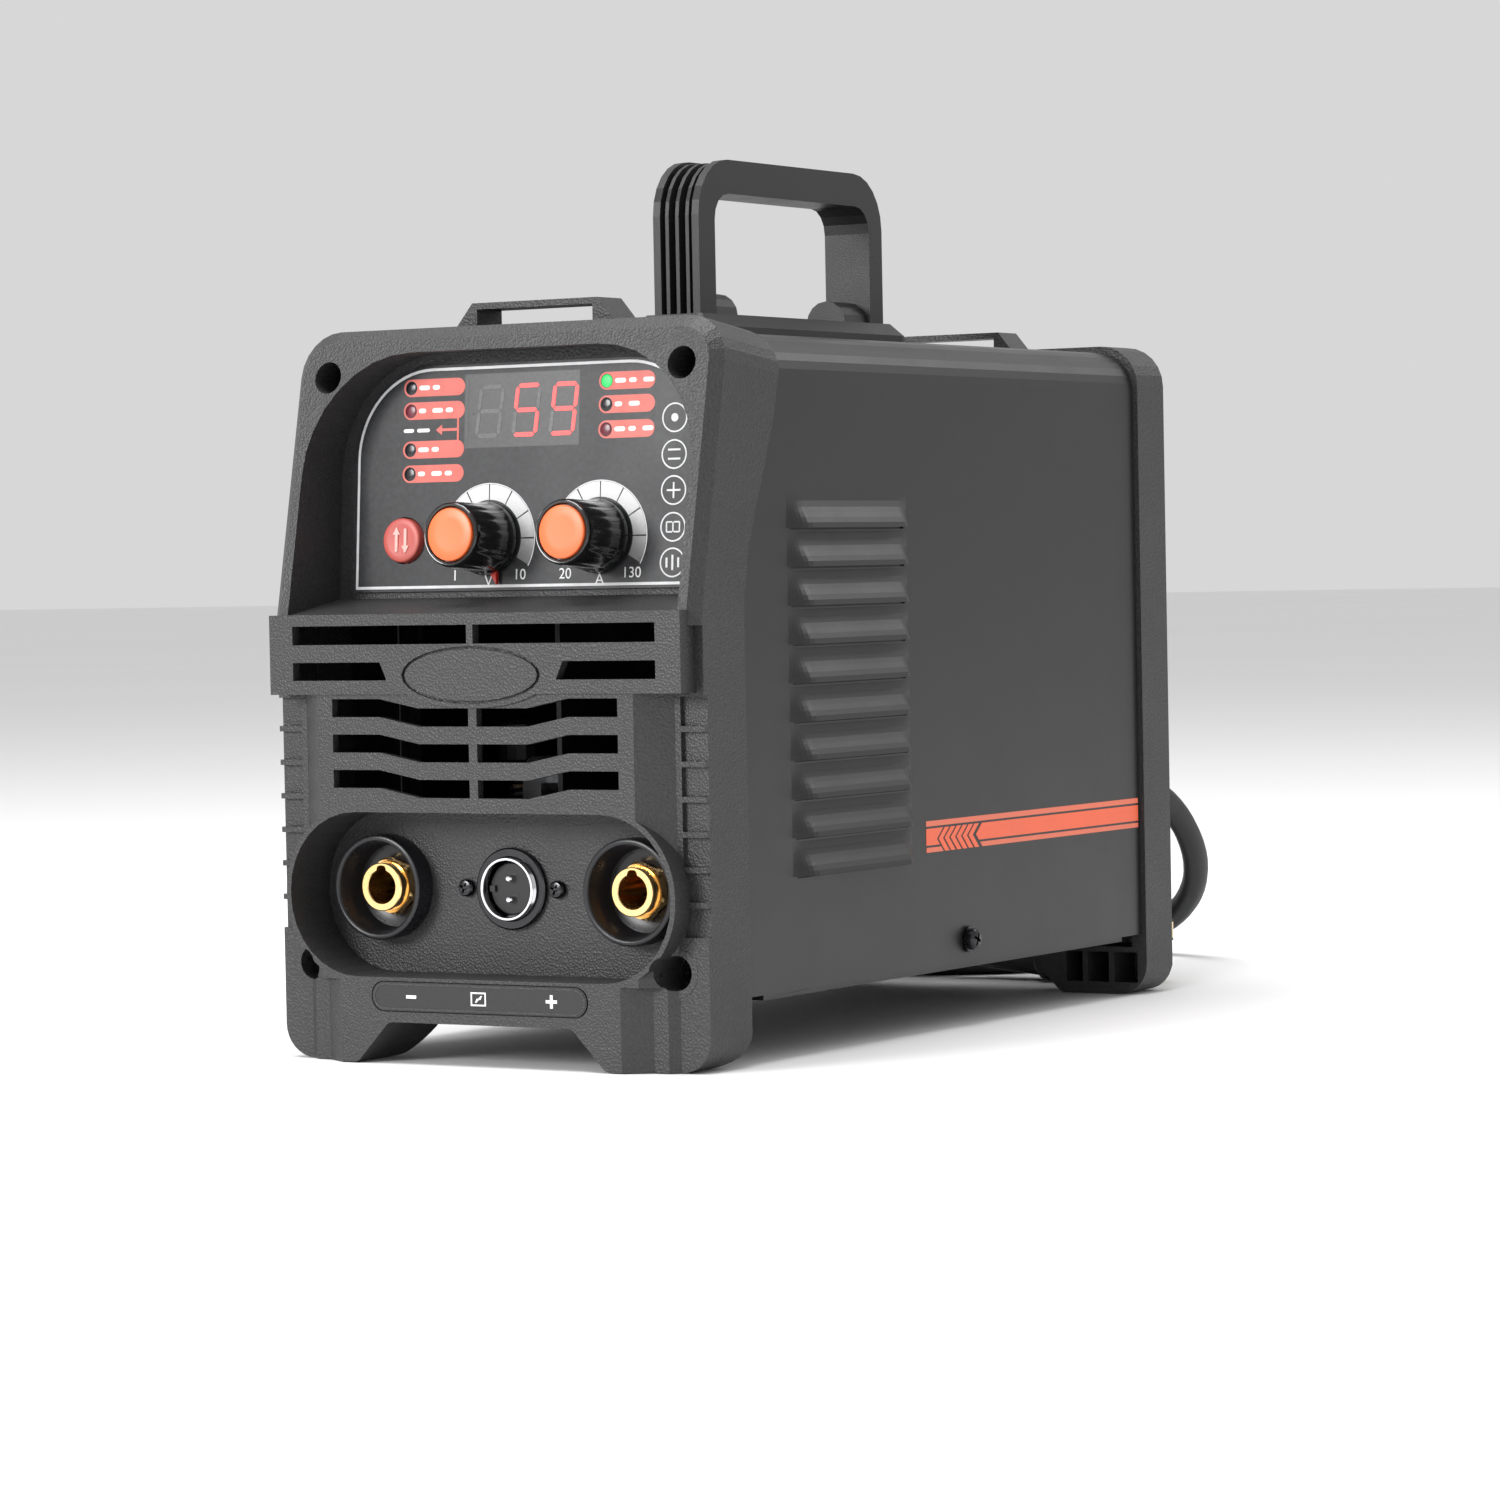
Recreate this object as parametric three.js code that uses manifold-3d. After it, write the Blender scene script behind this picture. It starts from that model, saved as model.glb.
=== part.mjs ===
// Compact MIG welding machine: moulded front and rear panels, a folded sheet cover with a side door,
// a carrying handle, and the power electronics, fan and wire feeder inside.
// Millimetres, +Z up. The front faces -Y and the louvred side faces +X.
import * as THREE from 'three';
import { mergeVertices } from 'three/addons/utils/BufferGeometryUtils.js';
import Module from 'manifold-3d';

const wasm = await Module();
wasm.setup();

// ---------------------------------------------------------------- driving dimensions

const LENGTH = 270;
const PANEL_HALF = 67.5;          // front moulding, half width
const REAR_HALF = 68.5;           // rear moulding, half width
const COVER_HALF = 67;
const COVER_TOP = 191;
const COVER_BOTTOM = 18;
const SHEET = 1.2;
const CORNER = 12;
const FRONT_TOP = 195;
const REAR_TOP = 192.8;
const REAR_FRONT_EDGE = 250.5;    // where the rear moulding begins
const COVER_END = 250;
const SKIRT = 27.5;               // rear edge of the front moulding, low down
const SKIRT_TOP = 47.4;           // and beside the control recess
const LEAN = 0.208;               // how far the upper front leans back for each mm of height
const LEAN_FROM = 121;
const UPPER_FRONT = 4.5;
const CHAMFER = 3;
const WALL = 2.5;
const GAP = 0.3;

const BAND = { half: 65, low: 97.8, high: 119, back: 9 };
const RECESS = { half: 61.8, low: 119, high: 188.5, radius: 32 };
const PANEL_LEAN = THREE.MathUtils.degToRad(4);
const PANEL_FOOT = { y: 28, z: 125.2 };   // bottom edge of the control overlay
const POCKET = { half: 60.2, low: 22.9, high: 66.6, floor: 18 };
const SOCKET = { x: 40, z: 45.8, front: 11.6 };
const ARCH = { half: 28, foot: 39.5, height: 11 };

const LOUVRE = { count: 10, pitch: 10.2, first: 139.6, y0: 50.4, y1: 113.6, rise: 9.2, out: 3.3 };
const DOOR = { y0: 60, y1: 240, z0: 32, z1: 176, gap: 0.8 };
const HINGE = { x: -68.8, y: 240.2, barrel: 1.7, bore: 1.15, pin: 0.8, low: 60, high: 148, knuckles: 5 };
const HANDLE = { half: 7.5, y0: 105, y1: 206.5, top: 243.5, bar: 8.5, radius: 16, foot: 199.5 };
const FAN = { x: 20, z: 125, half: 40, bore: 38.5, y0: 236, y1: 261 };
const FEED = { x: -40, y: 100, roll: 10, axisZ: 36, idler: 8 };
const SPOOL = { y: 178, z: 105 };
const LEAD = { radius: 4, x: 31, z: 60, gland: 300 };
const COIL = { x: -42, y: 342, inner: 32, outer: 56.2, height: 16.4 };

// ---------------------------------------------------------------- materials

function material(color, roughness, metalness = 0) {
  return new THREE.MeshStandardMaterial({ color, roughness, metalness });
}

const charcoal = material(0x2b2b2d, 0.62);
const coverPaint = material(0x3a3a3c, 0.5);
const blackPlastic = material(0x17171a, 0.5);
const glossBlack = material(0x0c0c0e, 0.15);
const overlayFilm = material(0x2f3033, 0.4);
const orangeCap = material(0xf2702a, 0.4);
const redKey = material(0xc9473f, 0.5);
const brass = material(0xd9a441, 0.3, 1);
const chrome = material(0xd8d8dc, 0.12, 1);
const blackScrew = material(0x1b1b1d, 0.4, 1);
const steel = material(0xb4b6ba, 0.35, 1);
const zinc = material(0x9fa2a6, 0.45, 1);
const aluminium = material(0xc2c5c9, 0.4, 1);
const greenBoard = material(0x1f5a36, 0.5);
const copper = material(0xb5673a, 0.35, 1);
const ferrite = material(0x2a2a2c, 0.7);
const capSleeve = material(0x20304f, 0.45);
const leadRubber = material(0x161617, 0.75);

// ---------------------------------------------------------------- shapes and solids

// A Shape from [x, y] points; each point may carry a radius that rounds it.
function polygon(points) {
  const shape = new THREE.Shape();
  const count = points.length;
  for (let i = 0; i < count; i += 1) {
    const [x, y, radius = 0] = points[i];
    const corner = new THREE.Vector2(x, y);
    if (radius === 0) {
      if (i === 0) shape.moveTo(x, y);
      else shape.lineTo(x, y);
      continue;
    }
    const before = new THREE.Vector2(...points[(i + count - 1) % count].slice(0, 2));
    const after = new THREE.Vector2(...points[(i + 1) % count].slice(0, 2));
    const toBefore = before.sub(corner).normalize();
    const toAfter = after.sub(corner).normalize();
    const half = Math.acos(THREE.MathUtils.clamp(toBefore.dot(toAfter), -1, 1)) / 2;
    const reach = radius / Math.tan(half);
    const centre = toBefore.clone().add(toAfter).normalize()
      .multiplyScalar(radius / Math.sin(half)).add(corner);
    const start = toBefore.multiplyScalar(reach).add(corner);
    const end = toAfter.multiplyScalar(reach).add(corner);
    const a0 = Math.atan2(start.y - centre.y, start.x - centre.x);
    const a1 = Math.atan2(end.y - centre.y, end.x - centre.x);
    const turn = THREE.MathUtils.euclideanModulo(a1 - a0 + Math.PI, 2 * Math.PI) - Math.PI;
    if (i === 0) shape.moveTo(start.x, start.y);
    else shape.lineTo(start.x, start.y);
    shape.absarc(centre.x, centre.y, radius, a0, a1, turn < 0);
  }
  shape.closePath();
  return shape;
}

function rectangle(x0, x1, y0, y1, radius = 0) {
  return polygon([[x0, y0, radius], [x1, y0, radius], [x1, y1, radius], [x0, y1, radius]]);
}

// Points for x >= 0, given from the bottom up, completed with their mirror image.
function ellipse(x, y, a, b) {
  const shape = new THREE.Shape();
  shape.absellipse(x, y, a, b, 0, 2 * Math.PI);
  return shape;
}

const TO_X = new THREE.Matrix4().makeBasis(
  new THREE.Vector3(0, 1, 0), new THREE.Vector3(0, 0, 1), new THREE.Vector3(1, 0, 0));

function prism(shape, depth, divisions) {
  return new THREE.ExtrudeGeometry(shape, { depth, bevelEnabled: false, curveSegments: divisions });
}

// A shape drawn in X and Z, between two Y planes.
function prismY(shape, y0, y1, divisions = 4) {
  return prism(shape, y1 - y0, divisions).rotateX(Math.PI / 2).translate(0, y1, 0);
}

// A shape drawn in Y and Z, between two X planes.
function prismX(shape, x0, x1, divisions = 4) {
  return prism(shape, x1 - x0, divisions).applyMatrix4(TO_X).translate(x0, 0, 0);
}

// A shape drawn in X and Y, between two Z planes.
function prismZ(shape, z0, z1, divisions = 4) {
  return prism(shape, z1 - z0, divisions).translate(0, 0, z0);
}

function block(x0, x1, y0, y1, z0, z1) {
  return new THREE.BoxGeometry(x1 - x0, y1 - y0, z1 - z0)
    .translate((x0 + x1) / 2, (y0 + y1) / 2, (z0 + z1) / 2);
}

// A solid of revolution about Y from [radius, y] points; the profile closes on the axis or on itself.
function turnedY(profile, sides, x = 0, z = 0) {
  const points = profile.map(([radius, y]) => new THREE.Vector2(radius, y));
  if (THREE.ShapeUtils.area(points) < 0) points.reverse();
  return new THREE.LatheGeometry(points, sides).translate(x, 0, z);
}

function turnedX(profile, sides, y = 0, z = 0) {
  return turnedY(profile, sides).rotateZ(-Math.PI / 2).translate(0, y, z);
}

function turnedZ(profile, sides, x = 0, y = 0) {
  return turnedY(profile, sides).rotateX(Math.PI / 2).translate(x, y, 0);
}

function rod(radius, from, to) {
  return [[0, from], [radius, from], [radius, to], [0, to]];
}

function pipe(inner, outer, from, to) {
  return [[inner, from], [outer, from], [outer, to], [inner, to], [inner, from]];
}

function solid(geometry) {
  const plain = geometry.clone();
  plain.deleteAttribute('normal');
  plain.deleteAttribute('uv');
  const merged = mergeVertices(plain, 1e-4);
  return new wasm.Manifold(new wasm.Mesh({
    numProp: 3,
    vertProperties: new Float32Array(merged.attributes.position.array),
    triVerts: new Uint32Array(merged.index.array),
  }));
}

function join(...geometries) {
  return geometries.map((item) => (item.isBufferGeometry ? solid(item) : item))
    .reduce((sum, item) => sum.add(item));
}

function cut(body, ...tools) {
  const start = body.isBufferGeometry ? solid(body) : body;
  return tools.map((item) => (item.isBufferGeometry ? solid(item) : item))
    .reduce((rest, item) => rest.subtract(item), start);
}

function common(first, second) {
  const a = first.isBufferGeometry ? solid(first) : first;
  const b = second.isBufferGeometry ? solid(second) : second;
  return a.intersect(b);
}

function toGeometry(body) {
  const { vertProperties, triVerts } = body.getMesh();
  const geometry = new THREE.BufferGeometry();
  geometry.setAttribute('position', new THREE.BufferAttribute(vertProperties, 3));
  geometry.setIndex(new THREE.BufferAttribute(triVerts, 1));
  geometry.computeVertexNormals();
  return geometry;
}

// ---------------------------------------------------------------- scene graph

const machine = new THREE.Group();
machine.position.set(0, -LENGTH / 2, 0);

// The control panel leans back: its local Z runs up the panel and its local -Y points outwards.
const panel = new THREE.Group();
panel.position.set(0, PANEL_FOOT.y, PANEL_FOOT.z);
panel.rotation.x = -PANEL_LEAN;
machine.add(panel);

function addPart(name, shape, look, parent = machine) {
  const geometry = shape.isBufferGeometry ? shape : toGeometry(shape);
  const mesh = new THREE.Mesh(geometry, look);
  mesh.name = name;
  parent.add(mesh);
}

// ---------------------------------------------------------------- front moulding

// The skirt's rear edge as a side view, moved back by extra; it sweeps back beside the control recess.
function skirtProfile(extra = 0) {
  const shape = new THREE.Shape();
  shape.moveTo(-20, -1);
  shape.lineTo(SKIRT + extra, -1);
  shape.lineTo(SKIRT + extra, 120);
  shape.bezierCurveTo(29 + extra, 142, 44 + extra, 160, SKIRT_TOP + extra, 182);
  shape.lineTo(SKIRT_TOP + extra, 210);
  shape.lineTo(-20, 210);
  shape.closePath();
  return shape;
}

// The upper front leans back, and its top falls slightly towards the cover.
function leanBack(geometry) {
  const position = geometry.attributes.position;
  const fall = 0.0017;
  for (let i = 0; i < position.count; i += 1) {
    const y = position.getY(i);
    const z = position.getZ(i);
    const scale = 1 - fall * Math.max(0, y - UPPER_FRONT - CHAMFER);
    position.setY(i, y + LEAN * (z - LEAN_FROM));
    position.setZ(i, BAND.high + (z - BAND.high) * (z > BAND.high ? scale : 1));
  }
  return geometry;
}

function arched(half, top, low, radius) {
  return polygon([[-half, low], [half, low], [half, top, radius], [-half, top, radius]]);
}

function upperBezel() {
  const depth = 60;
  const outline = arched(PANEL_HALF, FRONT_TOP, 108, CORNER);
  const geometry = new THREE.ExtrudeGeometry(outline, {
    depth: depth - 2 * CHAMFER, curveSegments: 3, bevelEnabled: true,
    bevelThickness: CHAMFER, bevelSize: CHAMFER, bevelOffset: -CHAMFER, bevelSegments: 1,
  });
  geometry.rotateX(Math.PI / 2).translate(0, UPPER_FRONT + depth - CHAMFER, 0);
  const above = block(-80, 80, -20, 80, BAND.high - 4, 220);
  return common(common(leanBack(geometry), above), prismX(skirtProfile(), -80, 80, 5));
}

// Front view of a panel standing on two feet with an arch between them.
function standingOutline(half, top, corner) {
  return polygon([
    [-half, 0, 9], [-ARCH.foot, 0, 3], [-ARCH.half - 1, ARCH.height, 3],
    [ARCH.half + 1, ARCH.height, 3], [ARCH.foot, 0, 3], [half, 0, 9],
    [half, top, corner], [-half, top, corner],
  ]);
}

// Plan view of the lower front, moved back by inset: proud in the middle and falling away at the sides.
function lowerPlan(inset) {
  const side = PANEL_HALF - inset;
  return polygon([
    [side, SKIRT], [-side, SKIRT], [-side, 7 + inset], [-58.5 + inset * 0.3, 7.2 + inset],
    [-50 + inset * 0.3, 0.6 + inset], [50 - inset * 0.3, 0.6 + inset],
    [58.5 - inset * 0.3, 7.2 + inset], [side, 7 + inset],
  ]);
}

function lowerBlock() {
  const plan = prismZ(lowerPlan(0), -1, BAND.high - 2);
  const front = prismY(standingOutline(PANEL_HALF, BAND.high, 0), -5, 40);
  const heel = prismX(polygon([[-1, 0, 2], [SKIRT, 0, 9], [SKIRT, 130], [-1, 130]]), -80, 80);
  return common(common(plan, front), heel);
}

function recessTool(grow, front, back, divisions = 4) {
  const outline = arched(RECESS.half + grow, RECESS.high + grow, RECESS.low - 4 - grow,
    RECESS.radius + grow);
  const rise = 3.9;
  const floorTop = PANEL_FOOT.y + back + Math.tan(PANEL_LEAN) * (200 - PANEL_FOOT.z);
  const side = polygon([
    [front, RECESS.low - grow], [UPPER_FRONT, RECESS.low - grow],
    [PANEL_FOOT.y + back, RECESS.low + rise - grow], [floorTop, 200], [front, 200],
  ]);
  return common(prismY(outline, -10, 60, divisions), prismX(side, -80, 80));
}

function pocketTool(grow, front, back, divisions = 4) {
  const radius = (POCKET.high - POCKET.low) / 2 - 0.5 + grow;
  const outline = rectangle(-POCKET.half - grow, POCKET.half + grow,
    POCKET.low - grow, POCKET.high + grow, radius);
  return prismY(outline, front, back, divisions);
}

// One row of a wavy vent slot on each side of the centre rib.
function wavySlot(side, top) {
  const height = 4.8;
  const dip = 2.5;
  const xs = [1.3, 17.2, 29.9, 45.2];
  const upper = [top - dip, top - dip, top, top];
  const points = xs.map((x, i) => [side * x, upper[i]]);
  const lower = xs.map((x, i) => [side * x, upper[i] - height]).reverse();
  return prismY(polygon(side > 0 ? [...lower.reverse(), ...points.reverse()]
    : [...points, ...lower]), -5, 8);
}

function bandSlots() {
  const tools = [];
  for (const side of [-1, 1]) {
    const long = [[side, 111], [side * 57.4, 111], [side * 57.4, 116], [side, 116]];
    const short = [[side * 26.8, 101.5], [side * 57.4, 101.5], [side * 57.4, 106.3],
      [side * 29, 106.3]];
    for (const points of [long, short]) {
      tools.push(prismY(polygon(side > 0 ? points : points.reverse()), -5, 12));
    }
    for (const top of [96.6, 87.2, 77.8]) tools.push(wavySlot(side, top));
  }
  return tools;
}

// Seven shallow cells down each front corner, clear of the pocket's rim.
function cornerCells() {
  const tools = [];
  const pitch = 9.05;
  const rim = pocketRim();
  for (let row = 0; row < 7; row += 1) {
    const low = 34.9 + row * pitch;
    for (const side of [-1, 1]) {
      const [x0, x1] = side > 0 ? [60.2, 70] : [-70, -60.2];
      tools.push(cut(prismY(rectangle(x0, x1, low, low + 7.6), -2, 8.6), rim));
    }
  }
  return tools;
}

const SCREW_TOP = { x: 56.3, z: 182.6, radius: 4.3, head: 28, nose: 17 };
const SCREW_LOW = { x: 57.6, z: 25.7, radius: 4.6, head: 14, nose: 4 };

// The socket pocket keeps its full rim where the panel falls away beside it.
function pocketRim() {
  const radius = (POCKET.high - POCKET.low) / 2 + 0.9;
  return prismY(rectangle(-POCKET.half - 1.4, POCKET.half + 1.4, POCKET.low - 1.4, POCKET.high + 1.4,
    radius), 0.6, 10, 8);
}

function strapLoop(front, back, base) {
  const bar = polygon([[-25, base - 4.5], [25, base - 4.5], [25, base + 0.6], [20, base + 6.6],
    [-20, base + 6.6], [-25, base + 0.6]]);
  return cut(prismY(bar, front, back),
    block(-18.5, 18.5, front - 5, back + 5, base + 0.1, base + 4.9));
}

function frontPanel() {
  const bezel = upperBezel();
  const band = block(-BAND.half, BAND.half, 0, BAND.back, BAND.low, BAND.high);
  const badgeBoss = prismY(ellipse(0, 102.8, 25, 8.7), 0, 9, 14);
  const outer = join(bezel, lowerBlock(), band, badgeBoss, pocketRim(),
    block(-PANEL_HALF, PANEL_HALF, 8, SKIRT, BAND.low - 4, BAND.high));

  const upperHollow = common(
    leanBack(prismY(arched(PANEL_HALF - WALL, FRONT_TOP - WALL, 112, CORNER - WALL), 7.6, 80, 2)),
    block(-80, 80, -20, 90, BAND.high - 2, 220));
  const lowerHollow = prismZ(lowerPlan(WALL), 24.6, BAND.high);
  const reach = block(-62.5, 62.5, 3, 60, BAND.low + 2.2, BAND.high - WALL);
  const rear = block(-65, 65, 20, 60, 14, BAND.high);
  const hollow = cut(join(upperHollow, lowerHollow, reach, rear),
    recessTool(2.2, -10, 2.2, 2), pocketTool(2.2, -5, POCKET.floor + 2.2, 2));

  const lip = common(cut(prismY(arched(65.2, 189, COVER_BOTTOM + 1, 10), 20, 60, 2),
    prismY(arched(63.7, 187.5, 0, 8.5), 10, 70, 2)), prismX(skirtProfile(8), -80, 80, 3));

  const bosses = [];
  const bores = [];
  for (const spec of [SCREW_TOP, SCREW_LOW]) {
    for (const side of [-1, 1]) {
      const x = side * spec.x;
      bosses.push(turnedY(rod(spec.radius + 2, spec.nose + 3, spec.head + 8), 10, x, spec.z));
      bores.push(turnedY(rod(spec.radius, -10, spec.head + 2.5), 18, x, spec.z));
      bores.push(turnedY(rod(2, spec.head, spec.head + 20), 8, x, spec.z));
    }
  }
  const shell = join(cut(outer, hollow), lip, ...bosses,
    strapLoop(33.6, 45.4, FRONT_TOP));

  const facets = [-1, 1].map((side) => {
    const points = [[44, -3], [60, -3], [60, 5.2], [51.5, 5.2], [44, 0.4]];
    const shaped = points.map(([x, y]) => [side * x, y]);
    return prismZ(polygon(side > 0 ? shaped : shaped.reverse()), -2, 22.2);
  });
  const sockets = [-1, 1].map((side) => turnedY(rod(13.2, 10, 40), 24, side * SOCKET.x, SOCKET.z));
  const trigger = turnedY(rod(8.4, 10, 40), 14, 0, SOCKET.z);
  const triggerHoles = [-1, 1].map((side) => turnedY(rod(1.6, 10, 40), 8, side * 14.5, SOCKET.z));
  const stripSeat = prismY(rectangle(-34.4, 34.4, 13.8, 22, 4), -1, 1.4, 3);
  const badgeGroove = cut(prismY(ellipse(0, 102.8, 22, 7.6), -1, 1, 14),
    prismY(ellipse(0, 102.8, 21, 6.8), -2, 2, 14));
  return cut(shell, recessTool(0, -10, 0), pocketTool(0, -5, POCKET.floor), ...bandSlots(),
    ...cornerCells(), ...bores, ...facets, ...sockets, trigger, ...triggerHoles, stripSeat,
    badgeGroove, ...panelOpenings());
}

// ---------------------------------------------------------------- control panel

const KNOBS = [
  { name: 'voltage', x: -12.4 },
  { name: 'current', x: 23 },
];
const KNOB_Z = 13.2;
const KEY = { x: -39.8, z: 13.2, radius: 6 };
const WINDOW = { x0: -20.5, x1: 15.5, z0: 38, z1: 57 };
const LEFT_LEDS = { x: -38.5, zs: [54.3, 48.1, 37.6, 31.1] };
const RIGHT_LEDS = { x: 24.4, zs: [54.1, 47.9, 41.3] };

function ledPlaces() {
  return [LEFT_LEDS, RIGHT_LEDS].flatMap(({ x, zs }) => zs.map((z) => [x, z]));
}

// Put a solid drawn in panel coordinates into machine coordinates.
function fromPanel(geometry) {
  return geometry.rotateX(-PANEL_LEAN).translate(0, PANEL_FOOT.y, PANEL_FOOT.z);
}

function panelOpenings() {
  const window = rectangle(WINDOW.x0 - 0.6, WINDOW.x1 + 0.6, WINDOW.z0 - 0.6, WINDOW.z1 + 0.6);
  const tools = [prismY(window, -1, 8),
    turnedY(rod(KEY.radius + 0.4, -1, 8), 20, KEY.x, KEY.z)];
  for (const knob of KNOBS) tools.push(turnedY(rod(5.2, -1, 8), 12, knob.x, KNOB_Z));
  for (const [x, z] of ledPlaces()) tools.push(turnedY(rod(1.9, -1, 8), 6, x, z));
  return tools.map(fromPanel);
}

function overlay() {
  const sheet = prismY(arched(56.5, 60.2, -0.6, 25), -0.9, -GAP, 6);
  const tools = [prismY(rectangle(WINDOW.x0 - 0.3, WINDOW.x1 + 0.3, WINDOW.z0 - 0.3,
    WINDOW.z1 + 0.3), -2, 1), turnedY(rod(KEY.radius + 0.4, -2, 1), 20, KEY.x, KEY.z)];
  for (const knob of KNOBS) tools.push(turnedY(rod(5.2, -2, 1), 12, knob.x, KNOB_Z));
  for (const [x, z] of ledPlaces()) tools.push(turnedY(rod(1.8, -2, 1), 6, x, z));
  return cut(sheet, ...tools);
}

// One clear moulding: a post behind each status lamp, joined by strips that pass under the display.
function lightGuide() {
  const posts = ledPlaces().map(([x, z]) => turnedY(rod(1.5, -0.7, 5.2), 6, x, z));
  const strip = (x0, x1, z0, z1) => block(x0, x1, 4.8, 6.4, z0, z1);
  return join(...posts, strip(LEFT_LEDS.x - 2, LEFT_LEDS.x + 2, 29, 56.2),
    strip(RIGHT_LEDS.x - 2, RIGHT_LEDS.x + 2, 29, 56), strip(LEFT_LEDS.x - 2, RIGHT_LEDS.x + 2, 29, 33));
}

function buildControls() {
  addPart('control_overlay', overlay(), overlayFilm, panel);
  addPart('display_window', prismY(rectangle(WINDOW.x0, WINDOW.x1, WINDOW.z0, WINDOW.z1), -0.9, 0.4),
    glossBlack, panel);
  addPart('seven_segment_display', prismY(rectangle(WINDOW.x0, WINDOW.x1, WINDOW.z0, WINDOW.z1),
    0.7, 8.6), blackPlastic, panel);
  addPart('status_light_guide', lightGuide(), glossBlack, panel);
  const key = join(turnedY(rod(KEY.radius, -2.8, 4.2), 24, KEY.x, KEY.z),
    turnedY(rod(KEY.radius + 1.6, 2.8, 4.2), 24, KEY.x, KEY.z));
  addPart('mode_button', key, redKey, panel);

  for (const { name, x } of KNOBS) {
    const body = [[0, -1.3], [9.8, -1.3], [9.8, -3.4], [9.2, -4.6], [8.7, -18.4], [8.2, -19],
      [7.3, -19], [7.3, -17.6], [0, -17.6]];
    const knob = join(turnedY(body, 20, x, KNOB_Z), turnedY(rod(3, -1.6, 7), 10, x, KNOB_Z));
    addPart(`${name}_knob`, knob, glossBlack, panel);
    addPart(`${name}_knob_cap`, turnedY([[0, -17.9], [7, -17.9], [7, -19], [6.6, -19.3], [0, -19.3]],
      20, x, KNOB_Z), orangeCap, panel);
    const pot = join(turnedY(rod(8, 3, 8.6), 12, x, KNOB_Z), turnedY(rod(4.8, -0.8, 4), 12, x, KNOB_Z));
    const bore = turnedY(rod(3.4, -2, 7.4), 10, x, KNOB_Z);
    addPart(`${name}_potentiometer`, cut(pot, bore), zinc, panel);
  }
  addPart('control_board', block(-54, 54, 9, 10.6, 3, 54), greenBoard, panel);
}

// ---------------------------------------------------------------- front fittings

function buildFrontFittings() {
  addPart('front_panel', frontPanel(), charcoal);
  addPart('polarity_plate', prismY(rectangle(-34, 34, 14.1, 21.7, 3.7), 0.5, 1.1, 3), blackPlastic);

  for (const [name, side] of [['negative', -1], ['positive', 1]]) {
    const x = side * SOCKET.x;
    const front = SOCKET.front;
    const floor = POCKET.floor;
    const collar = turnedY([[6.9, 20.5], [11.4, 20.5], [12.2, front], [14.1, front], [14.1, floor - GAP],
      [12.9, floor - GAP], [12.9, 34], [6.9, 34], [6.9, 20.5]], 32, x, SOCKET.z);
    addPart(`${name}_socket`, collar, blackPlastic);
    const hexagon = polygon([0, 60, 120, 180, 240, 300].map((turn) => {
      const angle = THREE.MathUtils.degToRad(turn + 12);
      return [x + 7.9 * Math.cos(angle), SOCKET.z + 7.9 * Math.sin(angle)];
    }));
    const nut = cut(prismY(hexagon, 17.2, 20.3), turnedY(rod(4.7, 10, 30), 24, x, SOCKET.z));
    addPart(`${name}_contact`, join(turnedY(pipe(4.7, 6.5, 13.9, 44), 24, x, SOCKET.z), nut), brass);
  }

  const shell = [[7.4, 14.6], [8.4, 14.6], [8.4, 16.4], [10.9, 16.4], [10.9, 17.7], [8, 17.7],
    [8, 30], [7.4, 30], [7.4, 14.6]];
  addPart('trigger_socket_shell', turnedY(shell, 20, 0, SOCKET.z), chrome);
  const pins = [-1, 1].map((side) => turnedY(rod(1, 15.4, 20), 8, 0, SOCKET.z + side * 2.8));
  addPart('trigger_socket_insert', join(turnedY(rod(7, 17.4, 31), 16, 0, SOCKET.z), ...pins),
    blackPlastic);

  for (const [level, spec] of [['upper', SCREW_TOP], ['lower', SCREW_LOW]]) {
    for (const [hand, side] of [['left', -1], ['right', 1]]) {
      const head = turnedY(rod(3.6, spec.head, spec.head + 2.2), 14, side * spec.x, spec.z);
      const shank = turnedY(rod(1.6, spec.head + 2, spec.head + 14), 8, side * spec.x, spec.z);
      addPart(`front_screw_${level}_${hand}`, join(head, shank), blackScrew);
    }
  }
}

// ---------------------------------------------------------------- cover, door and tray

// A closed block whose outer face swells by height(y, z) from the plane x = COVER_HALF + base.
function swelling(ys, zs, base, height) {
  const positions = [];
  const indices = [];
  const rows = ys.length;
  for (const z of zs) for (const y of ys) positions.push(COVER_HALF + base + height(y, z), y, z);
  for (const z of zs) for (const y of ys) positions.push(COVER_HALF - 0.6, y, z);
  const outer = (i, j) => j * rows + i;
  const inner = (i, j) => outer(i, j) + rows * zs.length;
  const quad = (p, q, r, t) => indices.push(p, q, r, p, r, t);
  const [last, top] = [rows - 1, zs.length - 1];
  for (let j = 0; j < top; j += 1) {
    for (let i = 0; i < last; i += 1) {
      quad(outer(i, j), outer(i + 1, j), outer(i + 1, j + 1), outer(i, j + 1));
      quad(inner(i, j), inner(i, j + 1), inner(i + 1, j + 1), inner(i + 1, j));
    }
    quad(inner(0, j), outer(0, j), outer(0, j + 1), inner(0, j + 1));
    quad(outer(last, j), inner(last, j), inner(last, j + 1), outer(last, j + 1));
  }
  for (let i = 0; i < last; i += 1) {
    quad(inner(i, 0), inner(i + 1, 0), outer(i + 1, 0), outer(i, 0));
    quad(outer(i, top), outer(i + 1, top), inner(i + 1, top), inner(i, top));
  }
  const geometry = new THREE.BufferGeometry();
  geometry.setAttribute('position', new THREE.BufferAttribute(new Float32Array(positions), 3));
  geometry.setIndex(indices);
  return geometry;
}

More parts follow.
